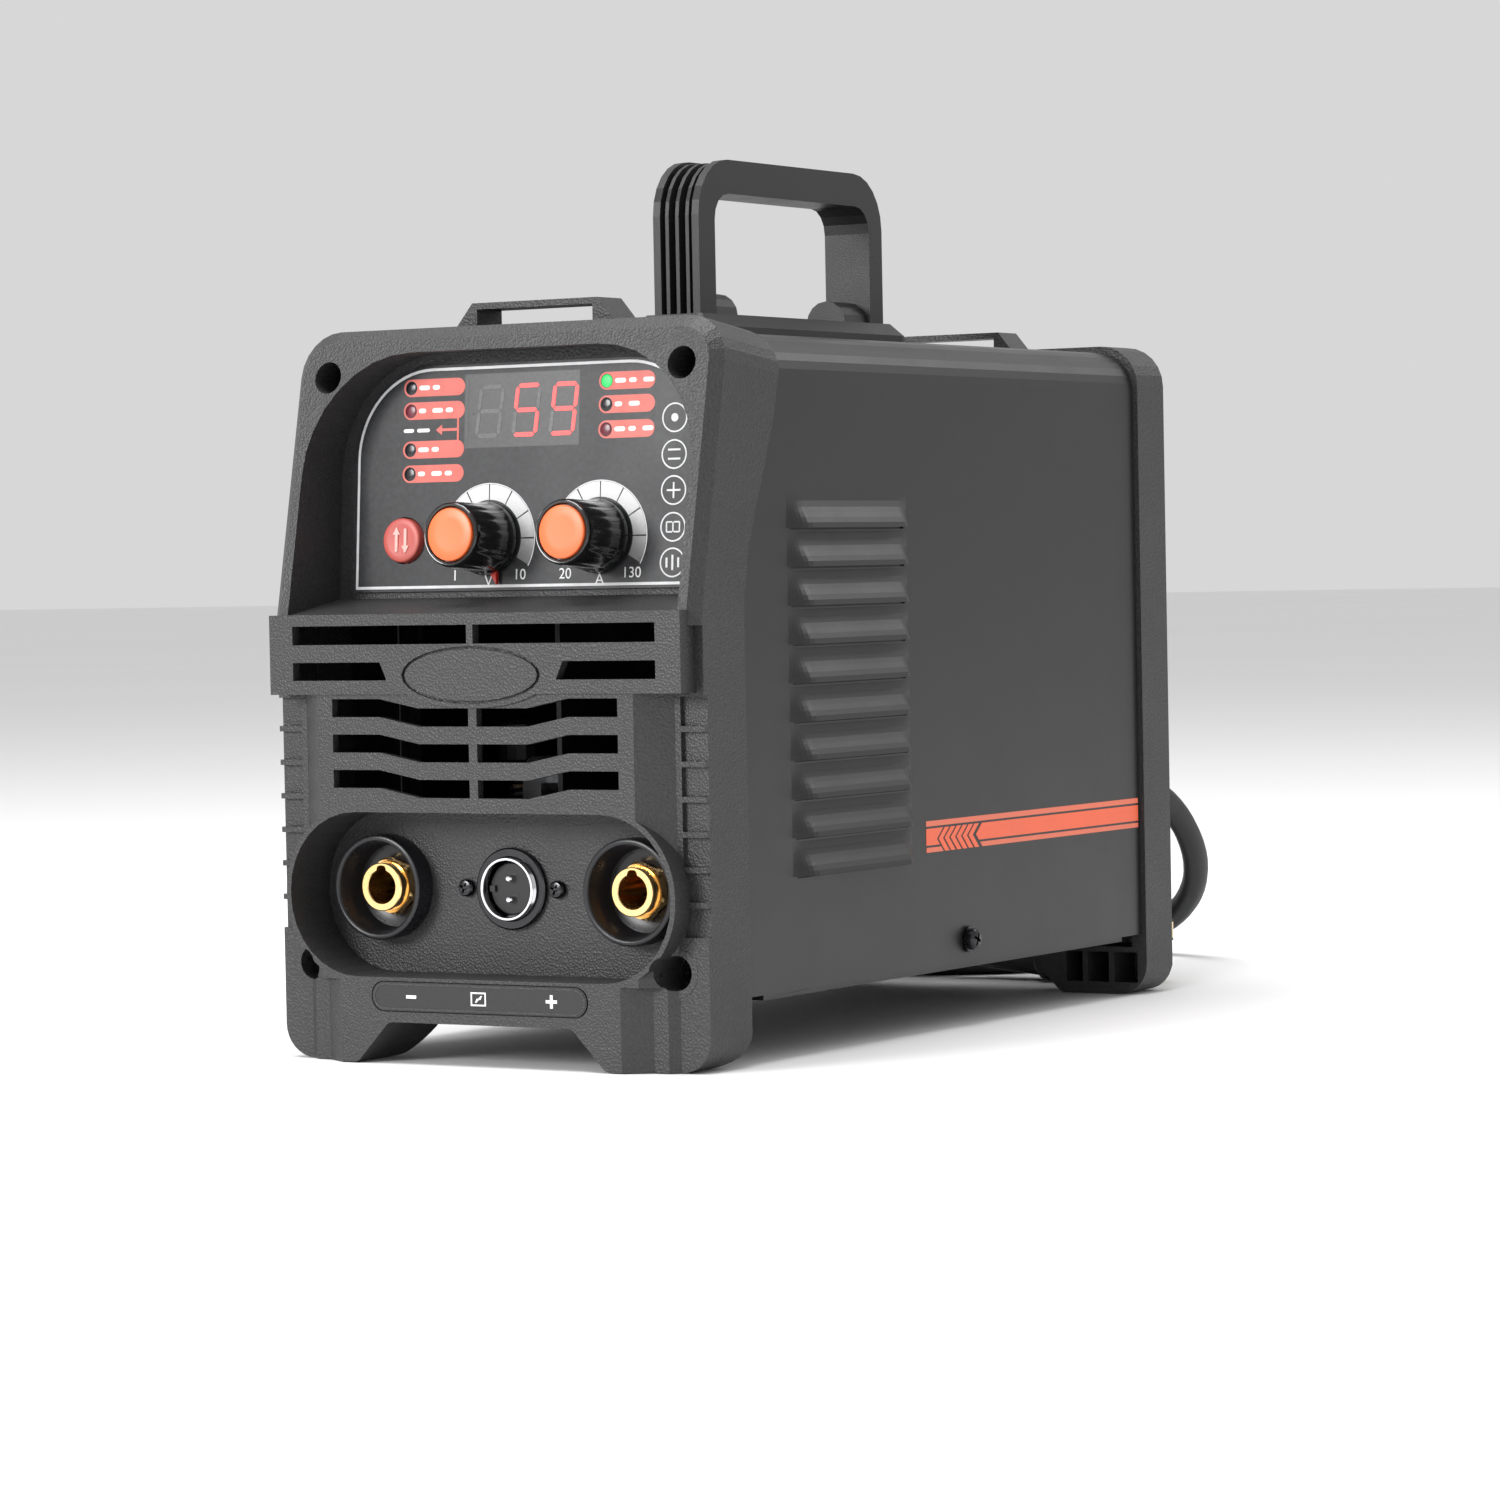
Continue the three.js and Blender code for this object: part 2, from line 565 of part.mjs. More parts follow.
// A stamped louvre: domed at both ends, fading into the sheet above, open along its lip below.
function louvre(lip) {
  const { y0, y1, rise, out } = LOUVRE;
  const shaped = (base, inset, low, reach, steps, parts) => {
    const [front, rear] = [y0 + inset, y1 - inset];
    const climb = (t) => Math.sin(Math.min(1, Math.max(0, t)) * Math.PI / 2);
    const fade = (z) => 0.5 + 0.5 * Math.cos(Math.PI * Math.max(0, (z - lip) / reach) ** 0.85);
    const height = (y, z) => (out - inset * 0.8) * fade(z) * climb((y - front) / 8) * climb((rear - y) / 6);
    const ys = [...steps.map((step) => front + step), ...steps.map((step) => rear - step * 0.75).reverse()];
    const zs = parts.map((part) => lip + low + part * (reach - low));
    return swelling(ys, zs, base, height);
  };
  return {
    skin: shaped(0.02, 0, 0, rise, [0, 0.8, 1.8, 3, 4.4, 6, 8], [0, 0.15, 0.3, 0.45, 0.6, 0.78, 1]),
    hollow: shaped(-0.3, 1.1, -0.45, rise - 1.6, [0, 1.5, 4, 8], [0, 0.3, 0.6, 1]),
  };
}

function coverSheet() {
  const outer = prismY(arched(COVER_HALF, COVER_TOP, COVER_BOTTOM, CORNER), 20, COVER_END, 4);
  const inner = prismY(arched(COVER_HALF - SHEET, COVER_TOP - SHEET, 0, CORNER - SHEET), 10, 270, 2);
  let cover = cut(outer, inner, prismX(skirtProfile(0.4), -80, 80, 5));
  for (let row = 0; row < LOUVRE.count; row += 1) {
    const lip = LOUVRE.first - row * LOUVRE.pitch;
    const { skin, hollow } = louvre(lip);
    const slot = block(COVER_HALF - 4, COVER_HALF - 0.3, LOUVRE.y0 + 4, LOUVRE.y1 - 4, lip + 0.8,
      lip + LOUVRE.rise - 4);
    cover = cut(join(cover, skin), hollow, slot);
  }
  const doorway = prismX(rectangle(DOOR.y0, DOOR.y1, DOOR.z0, DOOR.z1, 3), -80, -60, 2);
  const holes = [-1, 1].map((side) => turnedX(rod(2, side * 66 - 5, side * 66 + 5), 12, 144.3, 24.5));
  const leaves = knuckleSpans(0).map(([z0, z1]) => knuckle(z0, z1, HINGE.y + 1, HINGE.y + 6.5));
  const handleHoles = [120, 192].map((y) => turnedZ(rod(2.2, 180, 200), 8, 0, y));
  return join(cut(cover, doorway, ...holes, ...handleHoles), ...leaves);
}

// The heights of the cover's knuckles (first = 0) or the door's (first = 1) along the hinge.
function knuckleSpans(first) {
  const pitch = (HINGE.high - HINGE.low) / HINGE.knuckles;
  const spans = [];
  for (let i = first; i < HINGE.knuckles; i += 2) {
    spans.push([HINGE.low + i * pitch + 0.25, HINGE.low + (i + 1) * pitch - 0.25]);
  }
  return spans;
}

// A hinge knuckle with a short leaf reaching from the barrel onto the sheet.
function knuckle(z0, z1, y0, y1) {
  const leaf = block(-COVER_HALF - 1.2, -COVER_HALF + 0.4, y0, y1, z0, z1);
  const barrel = turnedZ(rod(HINGE.barrel, z0, z1), 12, HINGE.x, HINGE.y);
  const web = block(HINGE.x - 0.2, -COVER_HALF - 0.2, Math.min(HINGE.y, y0), Math.max(HINGE.y, y1),
    z0, z1);
  return cut(join(leaf, barrel, web), turnedZ(rod(HINGE.bore, z0 - 1, z1 + 1), 12, HINGE.x, HINGE.y));
}

const LATCH = { y: 71, z: 104 };

function sideDoor() {
  const { y0, y1, z0, z1, gap } = DOOR;
  const sheet = prismX(rectangle(y0 + gap, y1 - gap, z0 + gap, z1 - gap, 2.4),
    -COVER_HALF, -COVER_HALF + SHEET, 2);
  const fold = cut(
    prismX(rectangle(y0 + 4, y1 - 6, z0 + 4, z1 - 4), -COVER_HALF + SHEET - 0.2, -61.5),
    prismX(rectangle(y0 + 5.2, y1 - 7.2, z0 + 5.2, z1 - 5.2), -70, -60));
  const leaves = knuckleSpans(1).map(([z0, z1]) => knuckle(z0, z1, HINGE.y - 7, HINGE.y - 1.2));
  const tonguePath = block(-COVER_HALF + SHEET + 0.2, -60, y0 + 2, y0 + 7, LATCH.z - 4.5, LATCH.z + 15);
  return cut(join(sheet, fold, ...leaves), tonguePath,
    turnedX(rod(3.4, -75, -60), 14, LATCH.y, LATCH.z));
}

function buildCovers() {
  addPart('cover', coverSheet(), coverPaint);
  addPart('side_door', sideDoor(), coverPaint);
  const ends = [HINGE.low - 1, HINGE.high + GAP];
  const pin = join(turnedZ(rod(HINGE.pin, HINGE.low - 0.5, HINGE.high + 0.8), 10, HINGE.x, HINGE.y),
    ...ends.map((z) => turnedZ(rod(HINGE.barrel - 0.2, z, z + 1), 12, HINGE.x, HINGE.y)));
  addPart('door_hinge_pin', pin, steel);

  const outside = -COVER_HALF - GAP;
  const knob = turnedX(rod(8, outside - 3, outside), 24, LATCH.y, LATCH.z);
  const grip = cut(knob, block(-80, outside - 1.2, LATCH.y + 1.6, LATCH.y + 10, 90, 120),
    block(-80, outside - 1.2, LATCH.y - 10, LATCH.y - 1.6, 90, 120));
  const shaft = turnedX(rod(3, outside - 0.1, -63.2), 16, LATCH.y, LATCH.z);
  const tongue = block(-65.2, -63.4, LATCH.y - 2.5, LATCH.y + 2.5, LATCH.z - 3.5, LATCH.z + 13);
  addPart('door_latch', join(grip, shaft, tongue), blackPlastic);

  const floor = block(-65.2, 65.2, 37, 241, 16.4, 17.9);
  const flanges = [-1, 1].map((side) => {
    const flange = side > 0 ? block(64, 65.2, 37, 241, 16.4, 31) : block(-65.2, -64, 37, 241, 16.4, 31);
    return cut(flange, turnedX(rod(2, side * 64.6 - 5, side * 64.6 + 5), 12, 144.3, 24.5));
  });
  const posts = [];
  for (const x of [5, 57]) for (const y of [126, 218]) posts.push(turnedZ(rod(3, 17.5, 39.7), 10, x, y));
  addPart('base_tray', join(floor, ...flanges, ...posts), zinc);

  const plate = block(-6.5, -5, 50, 230, 18.2, 186);
  addPart('divider_plate', cut(plate, turnedX(rod(15.8, -20, 10), 24, FEED.y, FEED.axisZ)), zinc);

  for (const [hand, sign] of [['left', -1], ['right', 1]]) {
    const place = (radius, from, to, sides) => {
      const [a, b] = sign > 0 ? [from, to] : [-to, -from];
      return turnedX(rod(radius, a, b), sides, 144.3, 24.5);
    };
    addPart(`cover_screw_${hand}`, join(place(3.8, 67.3, 68.1, 16), place(3, 68, 70.2, 16),
      place(1.6, 58, 68, 8)), blackScrew);
  }
}

// ---------------------------------------------------------------- handle

function handleRing(inset, thickness, foot) {
  const { y0, y1, top, bar, radius } = HANDLE;
  const outer = polygon([[y0 + inset, foot], [y1 - inset, foot], [y1 - inset, top - inset, radius - inset],
    [y0 + inset, top - inset, radius - inset]]);
  const inner = rectangle(y0 + bar, y1 - bar + 1, foot - 5, top - bar - 1, 7.5);
  return cut(prismX(outer, -thickness, thickness, 3), prismX(inner, -20, 20, 2));
}

function carryHandle() {
  const { half, y0, y1, bar, foot } = HANDLE;
  const plate = (side) => cut(handleRing(0, half, foot),
    side > 0 ? block(-20, half - 2.3, 0, 300, 0, 300) : block(-half + 2.3, 20, 0, 300, 0, 300));
  const ribs = [-3.3, 0, 3.3].map((x) => common(handleRing(0.6, half, foot),
    block(x - 0.55, x + 0.55, 0, 300, 0, 300)));
  const core = cut(handleRing(0, half - 0.5, foot),
    cut(prismX(rectangle(y0 - 5, y1 + 5, 100, HANDLE.top + 5), -20, 20),
      prismX(rectangle(y0 + bar - 3, y1 - bar + 4, 90, HANDLE.top - bar + 2, 9.5), -30, 30, 2)));
  const base = new THREE.Shape(rectangle(-13.5, 13.5, 99, 212, 5).getPoints(2));
  const foundation = new THREE.ExtrudeGeometry(base, {
    depth: 4.5, curveSegments: 3, bevelEnabled: true, bevelThickness: 3.6, bevelSize: 4,
    bevelOffset: -4, bevelSegments: 1,
  }).translate(0, 0, 192);
  const trimmed = cut(foundation, block(-30, 30, 90, 220, 180, COVER_TOP + GAP));
  const lugs = [[y0 + bar - 1, y0 + bar + 13], [y1 - bar - 12, y1 - bar + 2]]
    .map(([from, to]) => turnedY(rod(6.5, from, to), 16, 0, 200));
  const holes = [120, 192].map((y) => turnedZ(rod(1.8, 180, 204), 8, 0, y));
  const clear = block(-30, 30, 90, 220, 170, COVER_TOP + GAP);
  return cut(join(plate(1), plate(-1), ...ribs, core, trimmed, ...lugs), ...holes, clear);
}

function buildHandle() {
  addPart('carry_handle', carryHandle(), blackPlastic);
}

// ---------------------------------------------------------------- power electronics

function finnedSink(y0, y1, z0, z1) {
  const fins = [];
  const count = 6;
  for (let i = 0; i < count; i += 1) {
    const z = z0 + (i * (z1 - z0 - 1.6)) / (count - 1);
    fins.push(block(2, 24, y0, y1, z, z + 1.6));
  }
  return join(block(-1, 3, y0, y1, z0, z1), ...fins);
}

function buildPower() {
  addPart('power_board', block(0, 62, 121, 223, 40, 41.6), greenBoard);
  addPart('input_heat_sink', finnedSink(124, 168, 60, 108), aluminium);
  addPart('output_heat_sink', finnedSink(174, 222, 60, 108), aluminium);
  for (const [name, y] of [['front', 138], ['rear', 170]]) {
    addPart(`filter_capacitor_${name}`, turnedZ(rod(13, 41.9, 82), 22, 45, y), capSleeve);
  }
  const core = cut(block(36, 52, 190, 222, 41.9, 84),
    block(30, 60, 195.5, 201.5, 48, 78), block(30, 60, 210.5, 216.5, 48, 78));
  addPart('transformer_core', core, ferrite);
  const winding = cut(prismZ(rectangle(31.5, 56.5, 195.9, 216.1, 3), 48.4, 77.6, 2),
    block(35.7, 52.3, 201.2, 210.8, 40, 90));
  addPart('transformer_winding', winding, copper);
  addPart('output_choke', join(turnedX(pipe(9, 22, 34, 52), 24, 78, 56),
    block(34, 52, 66, 90, 18.2, 38)), copper);
}

// ---------------------------------------------------------------- fan

function buildFan() {
  const { x, z, half, bore, y0, y1 } = FAN;
  const frame = cut(prismY(rectangle(x - half, x + half, z - half, z + half, 4), y0, y1, 2),
    turnedY(rod(bore, y0 - 5, y1 + 5), 28, x, z));
  const struts = [block(x - bore - 1, x + bore + 1, y1 - 4, y1 - 1, z - 2, z + 2),
    block(x - 2, x + 2, y1 - 4, y1 - 1, z - bore - 1, z + bore + 1)];
  addPart('fan_frame', join(frame, ...struts, turnedY(rod(17, y1 - 5, y1 - 1), 16, x, z)),
    blackPlastic);
  const blades = [];
  const count = 7;
  for (let i = 0; i < count; i += 1) {
    blades.push(new THREE.BoxGeometry(20, 1.8, 17).rotateX(THREE.MathUtils.degToRad(38))
      .translate(26.5, 0, 0).rotateY((i * 2 * Math.PI) / count)
      .translate(x, y0 + 10.5, z));
  }
  addPart('fan_rotor', join(turnedY(rod(18, y0 + 1.5, y1 - 5.4), 20, x, z), ...blades), blackPlastic);
}

// ---------------------------------------------------------------- rear moulding

const SWITCH = { x: -28, z: 52 };
const REAR_SCREWS = [[-57.6, 25.7], [57.6, 25.7], [-56.5, 180.5], [56.5, 180.5]];

function rearPanel() {
  const edge = 2.5;
  const depth = 40;
  const outline = standingOutline(REAR_HALF, REAR_TOP, CORNER);
  const bevelled = new THREE.ExtrudeGeometry(outline, {
    depth: depth - 2 * edge, curveSegments: 3, bevelEnabled: true,
    bevelThickness: edge, bevelSize: edge, bevelOffset: -edge, bevelSegments: 1,
  }).rotateX(Math.PI / 2).translate(0, LENGTH - edge, 0);
  const body = common(bevelled, block(-90, 90, REAR_FRONT_EDGE, LENGTH + 5, -5, 220));
  const hollow = prismY(arched(63.7, 187.5, 14, 8.5), 230, 261.6, 2);
  const back = prismY(rectangle(-60, 60, 26, 174, 8), 264.2, 290, 3);
  const lip = cut(prismY(arched(65.2, 189, COVER_BOTTOM + 1, 10), 242, 252, 2),
    prismY(arched(63.7, 187.5, 0, 8.5), 240, 258, 2));
  const grille = [];
  for (let row = -4; row <= 4; row += 1) {
    const dz = row * 8;
    const reach = Math.sqrt(36.5 ** 2 - dz ** 2);
    for (const [x0, x1] of [[-reach, -1.6], [1.6, reach]]) {
      grille.push(block(FAN.x + x0, FAN.x + x1, 255, 280, FAN.z + dz - 2.2, FAN.z + dz + 2.2));
    }
  }
  const cells = [];
  for (const side of [-1, 1]) {
    for (const [from, to] of [[41.5, 47], [48.8, 55.8], [57.6, 65.4]]) {
      const [x0, x1] = side > 0 ? [from, to] : [-to, -from];
      cells.push(block(x0, x1, 240, 264, 3.4, 12.4));
    }
  }
  const bosses = REAR_SCREWS.map(([x, z]) => turnedY(rod(5.4, 254, 263), 8, x, z));
  const bores = REAR_SCREWS.flatMap(([x, z]) => [turnedY(rod(4.2, 264, 275), 16, x, z),
    turnedY(rod(2, 240, 275), 8, x, z)]);
  const window = block(SWITCH.x - 11, SWITCH.x + 11, 250, 280, SWITCH.z - 14, SWITCH.z + 14);
  const leadHole = turnedY(rod(7.4, 250, 280), 20, LEAD.x, LEAD.z);
  return cut(join(cut(body, hollow), lip, ...bosses, strapLoop(254, 265.5, REAR_TOP - 0.8)),
    back, ...grille, ...cells, ...bores, window, leadHole);
}

const ROCKER_TILT = THREE.MathUtils.degToRad(10);

function buildRear() {
  addPart('rear_panel', rearPanel(), charcoal);

  const { x, z } = SWITCH;
  const frame = join(block(x - 12.7, x + 12.7, 264.5, 266.6, z - 15.5, z + 15.5),
    block(x - 10.6, x + 10.6, 246, 265, z - 13.6, z + 13.6));
  const well = block(x - 7.4, x + 7.4, 252, 280, z - 11, z + 11);
  addPart('power_switch_frame', cut(frame, well), blackPlastic);
  const rocker = polygon([[-6, -6.5], [1.5, -9.8], [3.6, -9.8], [2, 0], [3.6, 9.8], [1.5, 9.8], [-6, 6.5]]);
  addPart('power_switch_rocker', prismX(rocker, -6.9, 6.9).rotateX(ROCKER_TILT)
    .translate(x, 263.6, z), glossBlack);

  const gland = [[0, 252], [6.9, 252], [6.9, 264.6], [10.5, 264.6], [10.5, 270], [8.6, 271.5],
    [7.6, 275], [5.2, LEAD.gland - GAP], [0, LEAD.gland - GAP]];
  addPart('cable_gland', turnedY(gland, 20, LEAD.x, LEAD.z), blackPlastic);
}

// ---------------------------------------------------------------- mains lead

// Where the lead runs, from the gland back and down to the coil on the floor.
const LEAD_ROUTE = [[31, 300, 60], [31, 312, 59.7], [31.5, 324, 57.8], [32.5, 336, 52.8],
  [33, 347, 45], [31.5, 357, 35.5], [27, 366, 26.5], [19, 374, 18.5], [8.5, 381, 12],
  [0.5, 385.3, 8.6]];

function buildLead() {
  const path = new THREE.CatmullRomCurve3(LEAD_ROUTE.map((point) => new THREE.Vector3(...point)));
  const section = new THREE.Shape();
  section.absarc(0, 0, LEAD.radius, 0, 2 * Math.PI);
  const tube = new THREE.ExtrudeGeometry(section, { steps: 12, curveSegments: 5, extrudePath: path });
  addPart('mains_lead', tube, leadRubber);
  const { x, y, inner, outer, height } = COIL;
  const ring = [[inner, 0], [outer, 0], [outer, height], [inner, height], [inner, 0]];
  addPart('mains_coil', turnedZ(ring, 24, x, y), leadRubber);

  const plugY = y - 52;
  const relief = [[0, -10.8], [4.6, -10.8], [7.4, 15], [0, 15]];
  const body = new THREE.ExtrudeGeometry(rectangle(plugY - 11.5, plugY + 11.5, 0.4, 23.4, 6), {
    depth: 20, curveSegments: 3, bevelEnabled: true, bevelThickness: 2, bevelSize: 2,
    bevelOffset: -2, bevelSegments: 1,
  }).applyMatrix4(TO_X).translate(16, 0, 0);
  const blades = [-1, 1].map((side) => block(37, 54, plugY + side * 6.35 - 0.75,
    plugY + side * 6.35 + 0.75, 12.4, 18.8));
  const ground = turnedX(rod(2.4, 37, 56), 10, plugY, 6);
  addPart('mains_plug', join(turnedX(relief, 16, plugY, 8), body, ...blades, ground), blackPlastic);
}

// ---------------------------------------------------------------- wire feeder and spool holder

const ARM_PIVOT = { y: 122, z: 66 };
const TENSION_Y = 82;

function buildFeeder() {
  const { x, y, roll, axisZ, idler } = FEED;
  const wireZ = axisZ + roll;
  const motor = join(turnedX(rod(15, -26.6, 28), 24, y, axisZ), turnedX(rod(5, 27, 32), 12, y, axisZ));
  addPart('feed_motor', cut(motor, turnedX(rod(3.6, -40, -20), 12, y, axisZ)), zinc);

  const plate = cut(prismX(rectangle(72, 134, 20, 78, 5), -33, -27, 2),
    turnedX(rod(3.6, -50, -20), 12, y, axisZ));
  const spacers = [[78, 26], [128, 26], [78, 72], [128, 72]]
    .map(([sy, sz]) => turnedX(rod(3.5, -27.2, -6.8), 10, sy, sz));
  const pivot = [turnedX(rod(3, -38.2, -32), 14, ARM_PIVOT.y, ARM_PIVOT.z),
    turnedX(rod(5, -39.4, -37.8), 14, ARM_PIVOT.y, ARM_PIVOT.z)];
  const guideBlocks = [[117, 122], [74, 79]].map(([y0, y1]) => cut(
    block(-44, -32.5, y0, y1, wireZ - 5, wireZ + 5), turnedY(rod(2.9, 60, 140), 12, x, wireZ)));
  addPart('feed_plate', join(plate, ...spacers, ...pivot, ...guideBlocks), aluminium);

  const groove = [[0, -43.5], [roll, -43.5], [roll, -40.6], [roll - 0.8, -40], [roll, -39.4],
    [roll, -36.5], [0, -36.5]];
  const drive = join(turnedX(groove, 20, y, axisZ),
    turnedX(rod(3, -47, -22), 10, y, axisZ));
  addPart('drive_roll', drive, steel);

  const idlerZ = wireZ + 0.6 + idler;
  const arm = cut(prismX(polygon([[74, 58.5, 2], [92, 50, 2], [108, 50, 2], [128, 61, 4], [128, 72, 4],
    [116, 72, 4], [104, 64.5, 2], [74, 64.5, 2]]), -36.2, -33.4, 2),
  turnedX(rod(3.35, -50, -30), 16, ARM_PIVOT.y, ARM_PIVOT.z));
  const ear = cut(block(-47, -34, 75, 89, 61.5, 64.5), turnedZ(rod(2.6, 50, 80), 12, x, TENSION_Y));
  const axle = [turnedX(rod(2.4, -45, -34), 12, y, idlerZ), turnedX(rod(3.6, -46.2, -44.6), 12, y, idlerZ)];
  addPart('pressure_arm', join(arm, ear, ...axle), zinc);
  addPart('idler_roll', turnedX(pipe(2.75, idler, -43.4, -36.6), 18, y, idlerZ), steel);

  const screw = turnedZ([[0, 56], [2.1, 56], [2.1, 76], [6, 76], [7, 77.2], [7, 87], [6, 88], [0, 88]],
    16, x, TENSION_Y);
  addPart('tension_knob', join(screw, turnedZ(rod(3.6, 58, 60.8), 12, x, TENSION_Y)), blackPlastic);
  addPart('tension_spring', tensionSpring(x, TENSION_Y, 64.9, 75.6), steel);
  addPart('wire_inlet_guide', turnedY(pipe(1.1, 2.5, 109, 132), 10, x, wireZ), brass);
}

// A compression spring; its wire is a square section swept along a helix.
function tensionSpring(x, y, z0, z1) {
  const turns = 4;
  const wire = 0.5;
  const points = [];
  const steps = turns * 8;
  for (let i = 0; i <= steps; i += 1) {
    const angle = (i / steps) * turns * 2 * Math.PI;
    points.push(new THREE.Vector3(x + 3.6 * Math.cos(angle), y + 3.6 * Math.sin(angle),
      z0 + wire + ((z1 - z0 - 2 * wire) * i) / steps));
  }
  return new THREE.ExtrudeGeometry(rectangle(-wire, wire, -wire, wire),
    { steps, extrudePath: new THREE.CatmullRomCurve3(points) });
}

function buildSpoolHolder() {
  const { y, z } = SPOOL;
  addPart('spool_axle', join(turnedX(rod(14, -9.5, -6.8), 20, y, z), turnedX(rod(4, -58, -9), 14, y, z),
    turnedX(rod(7, -60, -57), 6, y, z)), steel);
  addPart('spool_hub', turnedX([[4.5, -56.4], [7.6, -56.4], [7.6, -13.2], [14, -13.2], [14, -10],
    [4.5, -10], [4.5, -56.4]], 18, y, z), blackPlastic);
}

buildControls();
buildFrontFittings();
buildCovers();
buildHandle();
buildPower();
buildFan();
buildRear();
buildLead();
buildFeeder();
buildSpoolHolder();

export default machine;
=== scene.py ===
import math

import bpy
from mathutils import Matrix, Vector


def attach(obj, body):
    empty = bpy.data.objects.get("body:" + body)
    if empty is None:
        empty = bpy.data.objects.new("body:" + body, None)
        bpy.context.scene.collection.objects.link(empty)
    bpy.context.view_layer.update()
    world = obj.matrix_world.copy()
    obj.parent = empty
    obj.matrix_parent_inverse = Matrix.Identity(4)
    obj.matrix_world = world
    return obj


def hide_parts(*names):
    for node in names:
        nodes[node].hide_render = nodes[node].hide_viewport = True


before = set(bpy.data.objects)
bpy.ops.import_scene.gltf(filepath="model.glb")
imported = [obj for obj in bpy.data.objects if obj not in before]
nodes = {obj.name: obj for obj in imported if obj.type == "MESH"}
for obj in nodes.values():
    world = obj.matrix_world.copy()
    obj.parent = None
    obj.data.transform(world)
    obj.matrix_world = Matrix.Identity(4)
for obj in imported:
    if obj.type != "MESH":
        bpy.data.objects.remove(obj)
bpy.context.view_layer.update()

MM = 0.001
TAU = 2 * math.pi
SHIFT = -135.0              # the machine's own Y runs from its front band; the row's origin is mid-length
MACHINE = Matrix.Translation((0, SHIFT * MM, 0))
PANEL_FOOT = (28, 125.2)    # Y and Z of the foot of the control face
PANEL_LEAN = 4              # degrees
PANEL = (Matrix.Translation((0, (PANEL_FOOT[0] + SHIFT) * MM, PANEL_FOOT[1] * MM))
         @ Matrix.Rotation(math.radians(-PANEL_LEAN), 4, "X"))


# ---------------------------------------------------------------- camera

CAMERA_PLACE = (0.7403, -1.2021, 0.1308)
CAMERA_TURN = (31.543, 2.164, -1.13)   # azimuth, elevation and roll in degrees
CAMERA_LENS = 119.25


def link_new(name, data):
    """An object for data, put into the scene."""
    made = bpy.data.objects.new(name, data)
    bpy.context.scene.collection.objects.link(made)
    return made


def place_camera():
    azimuth, elevation, roll = (math.radians(degrees) for degrees in CAMERA_TURN)
    back = Vector((math.sin(azimuth) * math.cos(elevation), -math.cos(azimuth) * math.cos(elevation),
                   math.sin(elevation)))
    right = (-back).cross(Vector((0, 0, 1))).normalized()
    up = right.cross(-back)
    tilted_right = math.cos(roll) * right + math.sin(roll) * up
    tilted_up = math.cos(roll) * up - math.sin(roll) * right
    data = bpy.data.cameras.new("camera")
    data.sensor_width = 36
    data.lens = CAMERA_LENS
    data.clip_start, data.clip_end = 0.05, 60
    camera = link_new("camera", data)
    turn = Matrix((tilted_right, tilted_up, back)).transposed().to_4x4()
    camera.matrix_world = Matrix.Translation(CAMERA_PLACE) @ turn
    bpy.context.scene.camera = camera


place_camera()


# ---------------------------------------------------------------- node materials

